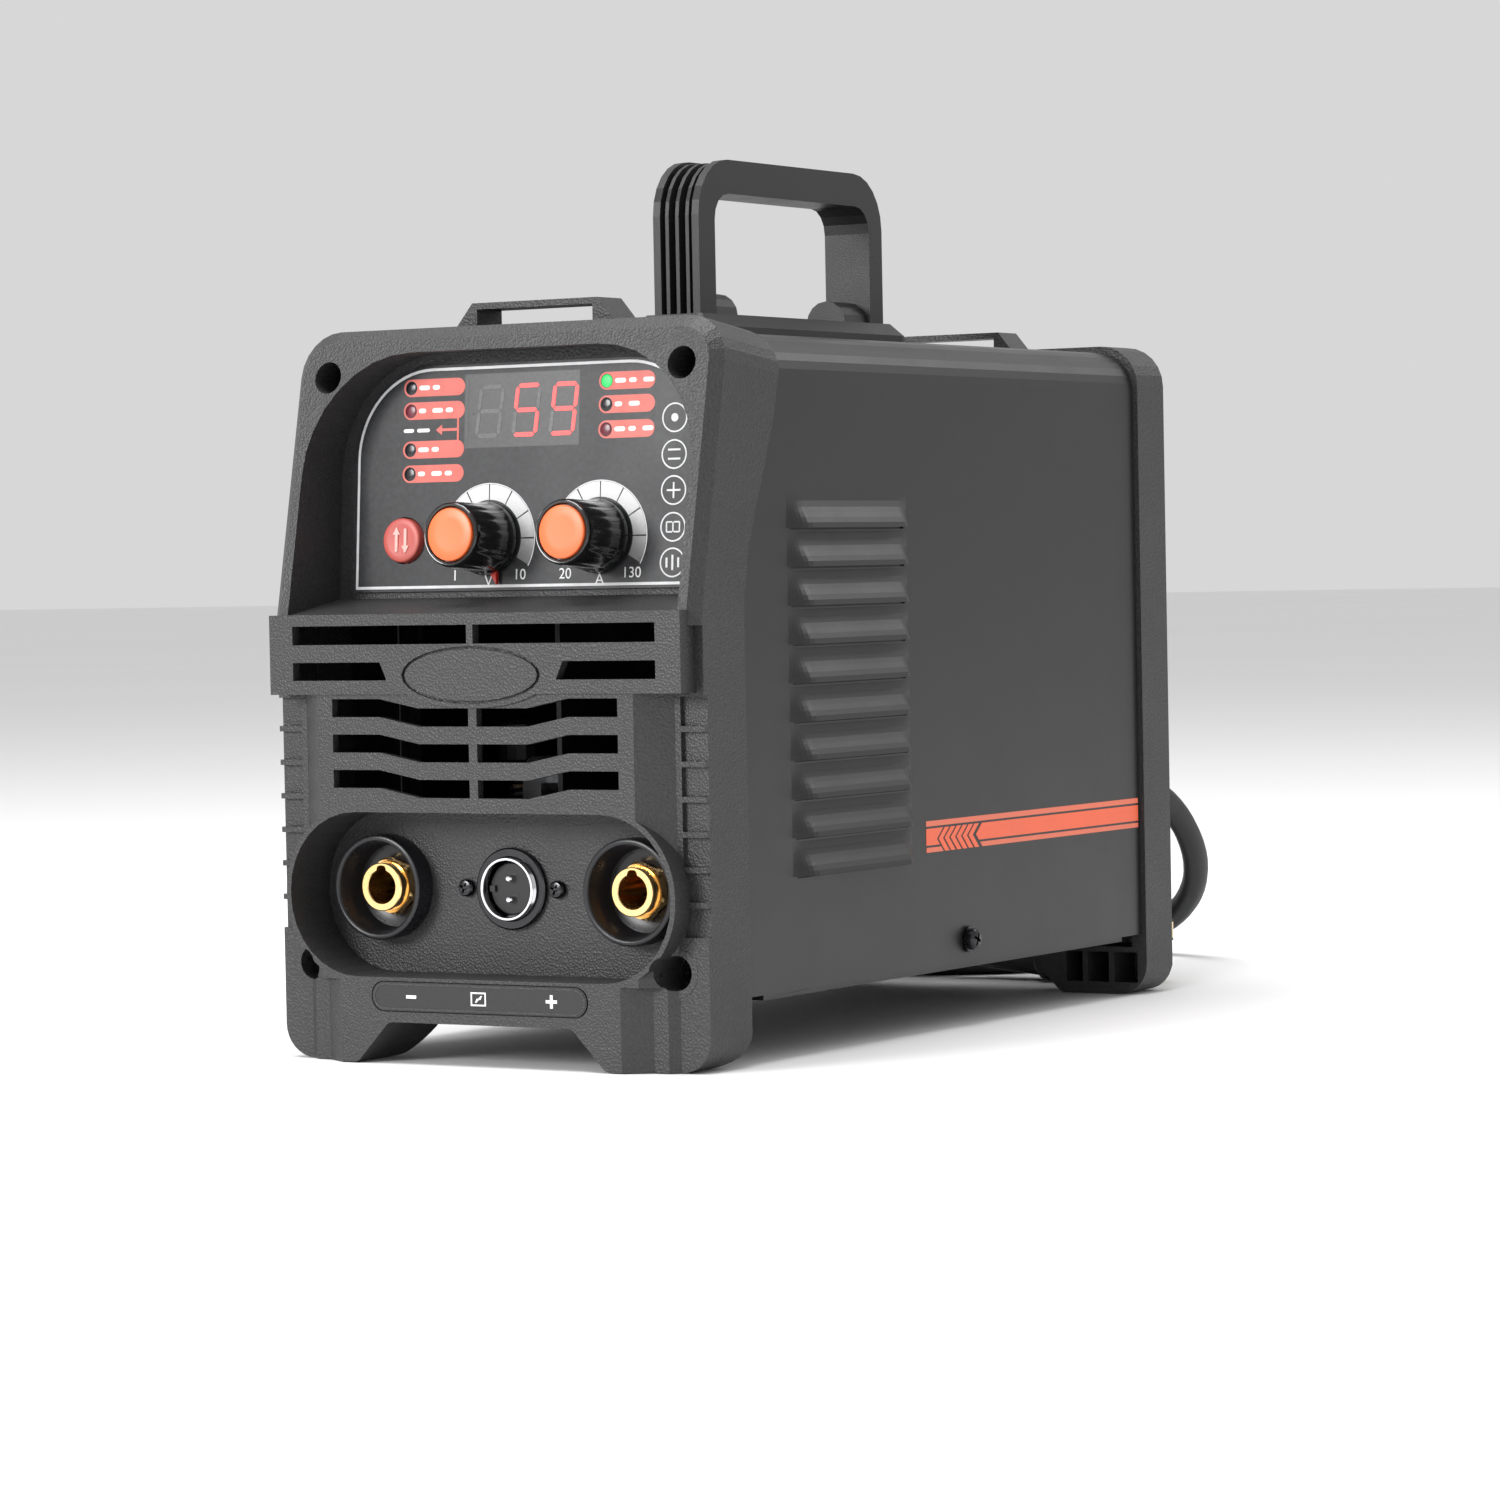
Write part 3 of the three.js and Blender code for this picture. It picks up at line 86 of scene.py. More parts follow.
class Look:
    """A principled material with a few helpers for its node tree."""

    def __init__(self, name, color, rough, metal=0.0):
        self.material = bpy.data.materials.new(name)
        self.material.use_nodes = True
        self.tree = self.material.node_tree
        self.shader = self.tree.nodes["Principled BSDF"]
        self.shader.inputs["Base Color"].default_value = (*color, 1)
        self.shader.inputs["Roughness"].default_value = rough
        self.shader.inputs["Metallic"].default_value = metal
        self.material.diffuse_color = (*color, 1)
        self.color = color
        self.rough = rough
        self.coords = self.node("ShaderNodeTexCoord").outputs["Object"]

    def node(self, kind, **values):
        made = self.tree.nodes.new(kind)
        for key, value in values.items():
            setattr(made, key, value)
        return made

    def link(self, source, target):
        self.tree.links.new(source, target)

    def noise(self, scale, detail=2.0, stretch=(1, 1, 1), rough=0.5):
        mapping = self.node("ShaderNodeMapping")
        mapping.inputs["Scale"].default_value = stretch
        self.link(self.coords, mapping.inputs["Vector"])
        made = self.node("ShaderNodeTexNoise")
        made.inputs["Scale"].default_value = scale
        made.inputs["Detail"].default_value = detail
        made.inputs["Roughness"].default_value = rough
        self.link(mapping.outputs[0], made.inputs["Vector"])
        return made.outputs["Fac"]

    def ranged(self, value, low, high, from_low=0.3, from_high=0.7):
        made = self.node("ShaderNodeMapRange")
        made.inputs["From Min"].default_value = from_low
        made.inputs["From Max"].default_value = from_high
        made.inputs["To Min"].default_value = low
        made.inputs["To Max"].default_value = high
        self.link(value, made.inputs["Value"])
        return made.outputs["Result"]

    def add(self, first, second):
        made = self.node("ShaderNodeMath", operation="ADD")
        self.link(first, made.inputs[0])
        self.link(second, made.inputs[1])
        return made.outputs[0]

    def mottle(self, amount, scale=14.0, wear=0.0, wear_color=(0.3, 0.3, 0.3)):
        """Broad tone changes, and paler worn edges where the surface turns sharply."""
        tone = self.ranged(self.noise(scale, 4), 1 - amount, 1 + amount)
        tint = self.node("ShaderNodeMix", data_type="RGBA", blend_type="MULTIPLY")
        tint.inputs["Factor"].default_value = 1
        tint.inputs["A"].default_value = (*self.color, 1)
        self.link(tone, tint.inputs["B"])
        result = tint.outputs["Result"]
        if wear:
            point = self.node("ShaderNodeNewGeometry").outputs["Pointiness"]
            edge = self.ranged(point, 0, wear, 0.52, 0.6)
            broken = self.ranged(self.noise(scale * 22, 3), 0, 1, 0.42, 0.62)
            mask = self.node("ShaderNodeMath", operation="MULTIPLY")
            self.link(edge, mask.inputs[0])
            self.link(broken, mask.inputs[1])
            worn = self.node("ShaderNodeMix", data_type="RGBA")
            worn.inputs["B"].default_value = (*wear_color, 1)
            self.link(mask.outputs[0], worn.inputs["Factor"])
            self.link(result, worn.inputs["A"])
            result = worn.outputs["Result"]
        self.link(result, self.shader.inputs["Base Color"])
        return self

    def uneven(self, amount, scale=40.0, fine=400.0):
        """Roughness that drifts across the surface, with finer handling marks in it."""
        broad = self.ranged(self.noise(scale, 3), self.rough - amount, self.rough + amount)
        small = self.ranged(self.noise(fine, 2), -amount * 0.4, amount * 0.4)
        self.link(self.add(broad, small), self.shader.inputs["Roughness"])
        return self

    def bump(self, scale, strength, distance, detail=2.0, stretch=(1, 1, 1), voronoi=False):
        if voronoi:
            made = self.node("ShaderNodeTexVoronoi")
            made.inputs["Scale"].default_value = scale
            self.link(self.coords, made.inputs["Vector"])
            height = made.outputs["Distance"]
        else:
            height = self.noise(scale, detail, stretch)
        bump = self.node("ShaderNodeBump")
        bump.inputs["Strength"].default_value = strength
        bump.inputs["Distance"].default_value = distance
        self.link(height, bump.inputs["Height"])
        previous = self.shader.inputs["Normal"].links
        if previous:
            self.link(previous[0].from_socket, bump.inputs["Normal"])
        self.link(bump.outputs[0], self.shader.inputs["Normal"])
        return self

    def set(self, **values):
        for key, value in values.items():
            self.shader.inputs[key.replace("_", " ")].default_value = value
        return self


def moulded(name, color, rough, grain=2300, depth=0.00008, strength=0.5, wear=0.12, speckle=0.035, spots=60):
    look = Look(name, color, rough)
    look.mottle(speckle, spots, wear=wear, wear_color=tuple(min(1, c * 2.2 + 0.01) for c in color))
    look.uneven(0.03, 55, 900)
    look.bump(grain, strength, depth, voronoi=True)
    look.bump(900, 0.08, 0.00005)
    return look.set(Specular_IOR_Level=0.42)


def metal(name, color, rough, brushed=(1, 1, 1), scale=900, strength=0.12):
    look = Look(name, color, rough, 1.0)
    look.mottle(0.08, 60)
    look.uneven(min(0.08, rough * 0.5), 90, 1200)
    look.bump(scale, strength, 0.00004, stretch=brushed)
    return look


def glow(name, color, strength):
    look = Look(name, tuple(c * 0.6 for c in color), 0.4)
    look.set(Emission_Color=(*color, 1), Emission_Strength=strength)
    spark = look.ranged(look.noise(900, 2), strength * 0.8, strength * 1.15)
    look.link(spark, look.shader.inputs["Emission Strength"])
    return look


CHARCOAL = moulded("charcoal_grained", (0.027, 0.027, 0.028), 0.44, grain=1500, depth=0.00016, strength=0.8,
                   speckle=0.2, spots=1300)
CHARCOAL_DARK = moulded("recess_plastic", (0.016, 0.016, 0.017), 0.45, strength=0.3)
COVER = moulded("powder_coat", (0.0135, 0.0135, 0.014), 0.34, grain=1700, depth=0.00002, strength=0.3, wear=0)
HANDLE = moulded("handle_plastic", (0.014, 0.014, 0.015), 0.42, grain=2600, strength=0.3)
BLACK = moulded("black_plastic", (0.010, 0.010, 0.0105), 0.4, grain=2600, strength=0.2)
SOCKET = moulded("socket_nylon", (0.011, 0.011, 0.013), 0.3, grain=2600, strength=0.12)
GLOSS = Look("gloss_black", (0.004, 0.004, 0.0045), 0.16).mottle(0.1, 90).uneven(0.03, 60, 700)
GLOSS.bump(240, 0.02, 0.00002).set(Coat_Weight=0.4, Coat_Roughness=0.08)
FILM = Look("overlay_film", (0.019, 0.0195, 0.0215), 0.36).mottle(0.3, 700).uneven(0.04, 60, 900)
FILM.bump(2600, 0.25, 0.00005, voronoi=True).set(Specular_IOR_Level=0.36)
LENS = Look("display_lens", (0.034, 0.034, 0.035), 0.3).mottle(0.25, 900).uneven(0.03, 50, 600)
LENS.bump(1500, 0.1, 0.00003)
GHOST = Look("unlit_segment", (0.105, 0.105, 0.107), 0.45).mottle(0.3, 900).uneven(0.05)
SILVER = Look("silver_print", (0.62, 0.62, 0.63), 0.4).mottle(0.08, 300).uneven(0.06)
WHITE = Look("white_print", (0.78, 0.78, 0.78), 0.5).mottle(0.06, 300).uneven(0.05)
# the dial print's colour is overridden below by painted light and shade, darker towards the ends of the scale
SCALE = Look("dial_print_with_painted_shade", (0.5, 0.5, 0.51), 0.5).uneven(0.05)
SALMON = Look("salmon_print", (0.60, 0.115, 0.09), 0.45).mottle(0.08, 260).uneven(0.05)
KEY = Look("red_key", (0.48, 0.085, 0.07), 0.42).mottle(0.05, 120).uneven(0.05).bump(1800, 0.1, 0.00004)
KEY_ARROW = Look("key_arrow", (0.80, 0.42, 0.38), 0.5).mottle(0.06, 200).uneven(0.04)
ORANGE = Look("orange_cap", (0.80, 0.135, 0.032), 0.36).mottle(0.05, 80).uneven(0.05).bump(900, 0.05, 0.00005)
STRIPE = Look("orange_print", (0.84, 0.13, 0.05), 0.42).mottle(0.05, 40).uneven(0.06)
STRIPE_PALE = Look("pale_orange_print", (0.74, 0.16, 0.085), 0.42).mottle(0.05, 40).uneven(0.06)
POINTER = Look("red_pointer", (0.58, 0.022, 0.008), 0.4).mottle(0.1, 200).uneven(0.05)
LAMP_OFF = Look("lamp_unlit", (0.010, 0.008, 0.010), 0.2).mottle(0.2, 400).uneven(0.03)
LAMP_RED = Look("lamp_red_unlit", (0.13, 0.010, 0.022), 0.25).mottle(0.2, 400).uneven(0.03)
LAMP_GREEN = glow("lamp_green", (0.02, 0.62, 0.12), 0.8)
DIGIT = glow("lit_segment", (1.0, 0.075, 0.075), 1.0)
BRASS = metal("brass", (0.92, 0.62, 0.27), 0.2, scale=1400)
CHROME = metal("chrome", (0.72, 0.72, 0.74), 0.1, scale=400, strength=0.05)
SCREW = metal("blackened_screw", (0.045, 0.045, 0.048), 0.24, scale=1600)
SCREW_DEEP = metal("oiled_screw", (0.03, 0.03, 0.032), 0.35, scale=1600)
STEEL = metal("steel", (0.55, 0.55, 0.57), 0.3, brushed=(1, 12, 1))
ZINC = metal("zinc_plate", (0.52, 0.53, 0.54), 0.4, scale=260, strength=0.2)
ALUMINIUM = metal("aluminium", (0.68, 0.69, 0.71), 0.36, brushed=(1, 14, 1))
BOARD = Look("solder_mask", (0.012, 0.11, 0.045), 0.35).mottle(0.3, 160).uneven(0.08).bump(420, 0.3, 0.0001)
COPPER = metal("enamelled_wire", (0.50, 0.17, 0.05), 0.35, brushed=(1, 1, 30), scale=60, strength=0.7)
FERRITE = Look("ferrite", (0.03, 0.03, 0.032), 0.75).mottle(0.2, 200).uneven(0.08).bump(900, 0.4, 0.0002)
SLEEVE = Look("shrink_sleeve", (0.018, 0.035, 0.09), 0.3).mottle(0.1, 60).uneven(0.06).bump(80, 0.1, 0.0003)
RUBBER = moulded("lead_jacket", (0.014, 0.014, 0.015), 0.52, grain=1400, strength=0.2, wear=0)
PLUG = moulded("plug_vinyl", (0.014, 0.014, 0.015), 0.46, grain=1800, strength=0.25, wear=0.1)
PRONG = metal("prong", (0.78, 0.66, 0.42), 0.25, scale=900)


def paint_light_on_dial(look):
    """Painted light and shade on the dial print: lighter at the top of the scale, darker towards its ends."""
    parts = look.node("ShaderNodeSeparateXYZ")
    look.link(look.coords, parts.inputs[0])
    # painted shade: the base colour darkens with falling height, towards the ends of the scale
    tone = look.ranged(parts.outputs["Z"], 0.07, 0.72, 0.003, 0.026)
    fine = look.ranged(look.noise(900, 2), -0.02, 0.02)
    look.link(look.add(tone, fine), look.shader.inputs["Base Color"])


paint_light_on_dial(SCALE)


# ---------------------------------------------------------------- pieces

def mesh_in_mm(name, verts, faces):
    mesh = bpy.data.meshes.new(name)
    mesh.from_pydata([tuple(c * MM for c in v) for v in verts], [], faces)
    return mesh


def publish(name, verts, faces, look, body="machine", place=MACHINE, sharp=32, bevel=0.0, segments=2,
            stand_in=(), slot=None):
    """Makes a piece from corners in millimetres, smooths it up to the sharp angle and lets it ride."""
    mesh = mesh_in_mm(name, verts, faces)
    mesh.materials.append(look.material)
    mesh.validate()
    mesh.shade_smooth()
    mesh.set_sharp_from_angle(angle=math.radians(sharp))
    piece = link_new(name, mesh)
    piece.matrix_world = place
    if bevel:
        add_bevel(piece, bevel, segments)
    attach(piece, body)
    if stand_in:
        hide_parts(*stand_in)
    return piece


def add_bevel(piece, width, segments=2, angle=28):
    """Rounds the edges that turn by more than angle; width is in millimetres."""
    bevel = piece.modifiers.new("edges", "BEVEL")
    bevel.width = width * MM
    bevel.segments = segments
    bevel.limit_method = "ANGLE"
    bevel.angle_limit = math.radians(angle)
    bevel.harden_normals = True


def merged(*parts):
    """One mesh from several (corners, faces) pairs."""
    verts, faces = [], []
    for more_verts, more_faces in parts:
        start = len(verts)
        verts.extend(more_verts)
        faces.extend([tuple(i + start for i in face) for face in more_faces])
    return verts, faces


def lathe(profile, sides=64, x=0.0, z=0.0, shape=None):
    """Revolves [radius, y] points about Y; shape(angle, radius, y) may change a radius."""
    verts, faces, rings = [], [], []
    for radius, y in profile:
        if radius == 0:
            rings.append([len(verts)])
            verts.append((x, y, z))
            continue
        ring = []
        for i in range(sides):
            angle = TAU * i / sides
            r = shape(angle, radius, y) if shape else radius
            ring.append(len(verts))
            verts.append((x + r * math.sin(angle), y, z + r * math.cos(angle)))
        rings.append(ring)
    for first, second in zip(rings, rings[1:]):
        for i in range(sides):
            j = (i + 1) % sides
            if len(first) == 1 and len(second) == 1:
                continue
            if len(first) == 1:
                faces.append((first[0], second[j], second[i]))
            elif len(second) == 1:
                faces.append((first[i], first[j], second[0]))
            else:
                faces.append((first[i], first[j], second[j], second[i]))
    return oriented(profile, verts, faces)


def doubled_area(outline):
    """Twice the signed area of a flat outline."""
    return sum(a[0] * b[1] - b[0] * a[1] for a, b in zip(outline, outline[1:] + outline[:1]))


def oriented(profile, verts, faces):
    """Turns the faces outward for a profile walked either way."""
    if doubled_area(profile) < 0:
        faces = [tuple(reversed(face)) for face in faces]
    return verts, faces


def slab(outline, y0, y1):
    """A prism from an X-Z outline, between two local Y planes."""
    if doubled_area(outline) < 0:
        outline = outline[::-1]
    count = len(outline)
    verts = [(x, y0, z) for x, z in outline] + [(x, y1, z) for x, z in outline]
    faces = [tuple(range(count)), tuple(range(2 * count - 1, count - 1, -1))]
    for i in range(count):
        j = (i + 1) % count
        faces.append((i, i + count, j + count, j))
    return verts, faces


def ribbon(outer, inner, y0, y1):
    """A prism between two outlines with the same number of points."""
    count = len(outer)
    verts = []
    for y in (y0, y1):
        verts += [(x, y, z) for x, z in outer] + [(x, y, z) for x, z in inner]
    faces = []
    for i in range(count):
        j = (i + 1) % count
        faces.append((i, j, j + count, i + count))
        faces.append((i + 3 * count, j + 3 * count, j + 2 * count, i + 2 * count))
        faces.append((i + 2 * count, j + 2 * count, j, i))
        faces.append((i + count, j + count, j + 3 * count, i + 3 * count))
    return verts, faces


def arc(x, z, radius, start, end, count=10):
    """Points on an arc; angles in degrees from +X towards +Z."""
    points = []
    for i in range(count + 1):
        angle = math.radians(start + (end - start) * i / count)
        points.append((x + radius * math.cos(angle), z + radius * math.sin(angle)))
    return points


def pill(x0, x1, z, height, count=8, straight=1):
    """A bar with round ends; straight splits its long sides for a ribbon."""
    r = height / 2
    run = [x0 + r + (x1 - x0 - height) * i / straight for i in range(1, straight)]
    return (arc(x1 - r, z, r, -90, 90, count) + [(x, z + r) for x in reversed(run)]
            + arc(x0 + r, z, r, 90, 270, count) + [(x, z - r) for x in run])


def plus(x, z, arm, width):
    """A cross with four equal arms."""
    w = width / 2
    quarter = [(arm, -w), (arm, w), (w, w)]
    made = []
    for turn in range(4):
        for px, pz in quarter:
            for _ in range(turn):
                px, pz = -pz, px
            made.append((x + px, z + pz))
    return made


def bar(x0, z0, x1, z1, width):
    """A straight stroke as an outline."""
    dx, dz = x1 - x0, z1 - z0
    length = math.hypot(dx, dz)
    nx, nz = -dz / length * width / 2, dx / length * width / 2
    return [(x0 - nx, z0 - nz), (x1 - nx, z1 - nz), (x1 + nx, z1 + nz), (x0 + nx, z0 + nz)]


def circle(x, z, radius, count=40):
    """A closed outline with no repeated point."""
    return arc(x, z, radius, 0, 360 - 360 / count, count - 1)


def carve(piece, cutter):
    """Cuts cutter out of piece and leaves plain geometry."""
    tool = piece.modifiers.new("cut", "BOOLEAN")
    tool.object = cutter
    tool.operation = "DIFFERENCE"
    tool.solver = "EXACT"
    bpy.context.view_layer.update()
    graph = bpy.context.evaluated_depsgraph_get()
    mesh = bpy.data.meshes.new_from_object(piece.evaluated_get(graph))
    piece.modifiers.clear()
    piece.data = mesh
    bpy.data.objects.remove(cutter)
    mesh.shade_smooth()
    mesh.set_sharp_from_angle(angle=math.radians(30))


# ---------------------------------------------------------------- mains lead, coil and plug

CORD_RADIUS = 4.0
COIL_X, COIL_Y = -42.0, 342.0
COIL_OUTER = 55.1                      # centreline radius of the outermost turn
TURN_PITCH = 8.15
LAYER_LOW, LAYER_HIGH = 4.1, 12.25     # centreline heights of the two layers


def lead_route():
    """The lead's centreline: out of the gland, down to the floor, two layers of turns, into the plug."""
    points = [(31, 300.3, 60), (31, 312, 59.7), (31.5, 324, 57.8), (32.5, 336, 52.8), (33, 347, 45),
              (31.5, 357.5, 35.5), (27, 367, 26.5), (19.5, 375.6, 18.6), (9.8, 382.6, 12.4),
              (-2, 388.9, 7.7), (-15, 393.8, 5.1), (-28, 396.5, 4.2)]
    climb = (720, 800)                 # degrees of turn over which the lead rises to the upper layer
    last = 1620
    inner = COIL_OUTER - TURN_PITCH * (last - climb[1]) / 360
    step = 15
    for degrees in range(0, last + 1, step):
        angle = math.radians(90 + degrees)
        if degrees <= climb[0]:
            radius, z = COIL_OUTER - TURN_PITCH * degrees / 360, LAYER_LOW
        elif degrees < climb[1]:
            t = (degrees - climb[0]) / (climb[1] - climb[0])
            start = COIL_OUTER - TURN_PITCH * climb[0] / 360
            radius = start + (inner - start) * t
            z = LAYER_LOW + (LAYER_HIGH - LAYER_LOW) * t * t * (3 - 2 * t)
        else:
            radius, z = inner + TURN_PITCH * (degrees - climb[1]) / 360, LAYER_HIGH
        points.append((COIL_X + radius * math.cos(angle), COIL_Y + radius * math.sin(angle), z))
    points += [(-31, COIL_Y - COIL_OUTER, 12.2), (-20, COIL_Y - COIL_OUTER, 12.1),
               (-9.2, COIL_Y - COIL_OUTER, 12)]
    return points


def smooth_path(points, steps=6):
    """Catmull-Rom points through the route."""
    made = []
    vectors = [Vector(p) for p in points]
    padded = [vectors[0] * 2 - vectors[1]] + vectors + [vectors[-1] * 2 - vectors[-2]]
    for a, b, c, d in zip(padded, padded[1:], padded[2:], padded[3:]):
        for i in range(steps):
            t = i / steps
            made.append(0.5 * ((2 * b) + (c - a) * t + (2 * a - 5 * b + 4 * c - d) * t * t
                               + (3 * b - a - 3 * c + d) * t ** 3))
    made.append(vectors[-1])
    return made


def build_lead():
    """The cord with its tie; the plug and the gland are CAD nodes."""
    path = smooth_path(lead_route(), 3)
    curve = bpy.data.curves.new("mains_lead_cord", "CURVE")
    curve.dimensions = "3D"
    spline = curve.splines.new("POLY")
    spline.points.add(len(path) - 1)
    for point, place in zip(spline.points, path):
        point.co = (*(MACHINE @ (place * MM)), 1)
    curve.bevel_depth = CORD_RADIUS * MM
    curve.bevel_resolution = 5
    curve.use_fill_caps = True
    curve.materials.append(RUBBER.material)
    cord = link_new("mains_lead_cord", curve)
    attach(cord, "machine")
    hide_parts("mains_lead", "mains_coil")

    tie_x, tie_z = COIL_X + 45.3, 8.2
    verts, faces = lathe([(9.6, -3), (11.2, -3), (11.6, -2), (11.6, 2), (11.2, 3), (9.6, 3), (9.6, -3)], 40,
                         shape=lambda a, r, y: r * (1.0 + 0.16 * math.sin(a) ** 2))
    verts = [(x + tie_x, y + COIL_Y, max(z * 0.93 + tie_z, 0.0)) for x, y, z in verts]
    band = publish("coil_tie", verts, faces, BLACK)


build_lead()


# ---------------------------------------------------------------- CAD nodes: edges and finishes

def finish_node(name, look, width=0.35, segments=2, angle=28, dissolve=True):
    """Rounds a CAD node's edges with modifiers and gives it a finish."""
    piece = nodes[name]
    piece.data.materials.clear()
    piece.data.materials.append(look.material)
    for polygon in piece.data.polygons:
        polygon.use_smooth = True
    if dissolve:
        merge = piece.modifiers.new("facets", "DECIMATE")
        merge.decimate_type = "DISSOLVE"
        merge.angle_limit = math.radians(0.6)
    add_bevel(piece, width, segments, angle)


FINISHES = {  # node: finish, bevel width in millimetres, bevel segments
    "front_panel": (CHARCOAL, 0.5, 2), "rear_panel": (CHARCOAL, 0.5, 2), "cover": (COVER, 0.3, 2),
    "side_door": (COVER, 0.3, 2), "carry_handle": (HANDLE, 0.5, 2), "base_tray": (COVER, 0.2, 1),
    # painted shade: divider_plate takes the dark cover paint instead of zinc, standing in for the shaded
    # inside of the case
    "divider_plate": (COVER, 0.2, 1), "door_hinge_pin": (STEEL, 0.15, 2), "door_latch": (BLACK, 0.4, 2),
    "polarity_plate": (CHARCOAL_DARK, 0.12, 2), "control_overlay": (FILM, 0.08, 1),
    "display_window": (LENS, 0.15, 2), "seven_segment_display": (BLACK, 0.2, 1),
    "status_light_guide": (GLOSS, 0.15, 1), "voltage_potentiometer": (ZINC, 0.2, 1),
    "current_potentiometer": (ZINC, 0.2, 1), "control_board": (BOARD, 0.1, 1),
    "power_board": (BOARD, 0.1, 1), "input_heat_sink": (ALUMINIUM, 0.2, 1),
    "output_heat_sink": (ALUMINIUM, 0.2, 1), "filter_capacitor_front": (SLEEVE, 0.8, 3),
    "filter_capacitor_rear": (SLEEVE, 0.8, 3), "transformer_core": (FERRITE, 0.5, 2),
    "transformer_winding": (COPPER, 0.8, 3), "output_choke": (COPPER, 1.2, 3),
    "fan_frame": (BLACK, 0.4, 2), "fan_rotor": (BLACK, 0.3, 2), "power_switch_frame": (BLACK, 0.4, 2),
    "power_switch_rocker": (GLOSS, 0.4, 2), "mains_plug": (PLUG, 0.6, 3), "feed_motor": (ZINC, 0.6, 2),
    "feed_plate": (ALUMINIUM, 0.3, 2), "drive_roll": (STEEL, 0.25, 2), "pressure_arm": (ZINC, 0.4, 2),
    "idler_roll": (STEEL, 0.3, 2), "tension_knob": (BLACK, 0.5, 2), "tension_spring": (STEEL, 0.15, 2),
    "wire_inlet_guide": (BRASS, 0.15, 2), "spool_axle": (STEEL, 0.4, 2), "spool_hub": (BLACK, 0.5, 2),
    "cable_gland": (BLACK, 0.3, 2),
}
for node_name, (look, width, segments) in FINISHES.items():
    finish_node(node_name, look, width, segments)


# ---------------------------------------------------------------- control panel

FILM_FACE = -0.9                       # local Y of the overlay's front
PRINT_ROOT = 0.005                     # prints stop this far in front of the film


def overlay_outline(inset):
    """The film's own outline, moved inward."""
    half, top, low, radius = 56.5 - inset, 60.2 - inset, inset - 0.6, 25 - inset
    return (arc(half - radius, top - radius, radius, 0, 90, 16)
            + arc(-half + radius, top - radius, radius, 90, 180, 16) + [(-half, low), (half, low)])


def printed(name, parts, look, lift=0.06):
    """Flat printed marks on the overlay."""
    shapes = [slab(outline, FILM_FACE - lift, FILM_FACE - PRINT_ROOT) for outline in parts]
    return publish(name, *merged(*shapes), look, place=PANEL)


def printed_ring(outer, inner, lift=0.06):
    return ribbon(outer, inner, FILM_FACE - lift, FILM_FACE - PRINT_ROOT)


# The strokes each figure lights: a to f run clockwise from the top, g is the middle.
SEGMENTS = {"5": "afgcd", "9": "abcdfg"}
DIGITS = ((-12.7, ""), (-0.9, "5"), (11.0, "9"))
DIGIT_Z, DIGIT_WIDTH, DIGIT_HEIGHT = 47.3, 8.2, 14.2


def digit_strokes(x, z, width, height, lean=0.11):
    """The seven strokes of one figure as outlines, leaning slightly to the right."""
    t = 1.15                           # stroke thickness
    w, h = width / 2, height / 2
    g = 0.25                           # gap between strokes

    def lie(points):
        return [(x + px + pz * lean, z + pz) for px, pz in points]

    def across(pz):
        return lie([(-w + t * 0.5 + g, pz), (-w + t + g, pz + t / 2), (w - t - g, pz + t / 2),
                    (w - t * 0.5 - g, pz), (w - t - g, pz - t / 2), (-w + t + g, pz - t / 2)])

    def down(px, z0, z1):
        return lie([(px, z0 + g), (px + t / 2, z0 + t / 2 + g), (px + t / 2, z1 - t / 2 - g), (px, z1 - g),
                    (px - t / 2, z1 - t / 2 - g), (px - t / 2, z0 + t / 2 + g)])

    side = w - t / 2
    return {"a": across(h - t / 2), "g": across(0), "d": across(-h + t / 2),
            "f": down(-side, 0, h - t / 2), "b": down(side, 0, h - t / 2),
            "e": down(-side, -h + t / 2, 0), "c": down(side, -h + t / 2, 0)}


def build_display():
    lit, unlit = [], []
    for x, figure in DIGITS:
        for key, outline in digit_strokes(x, DIGIT_Z, DIGIT_WIDTH, DIGIT_HEIGHT).items():
            (lit if figure and key in SEGMENTS[figure] else unlit).append(outline)
    printed("display_lit_strokes", lit, DIGIT, 0.1)
    printed("display_unlit_strokes", unlit, GHOST, 0.06)


LAMP_COLUMNS = (  # field ends, lamp X and heights
    (-40.9, -20.9, -38.5, (54.3, 48.1, 37.6, 31.1)),
    (22.0, 39.6, 24.4, (54.1, 47.9, 41.3)),
)
LAMP_LOOKS = {1: LAMP_RED, 4: LAMP_GREEN, 6: LAMP_RED}
FIELD_HEIGHT = 4.7
LAMP_HOLE = 1.9


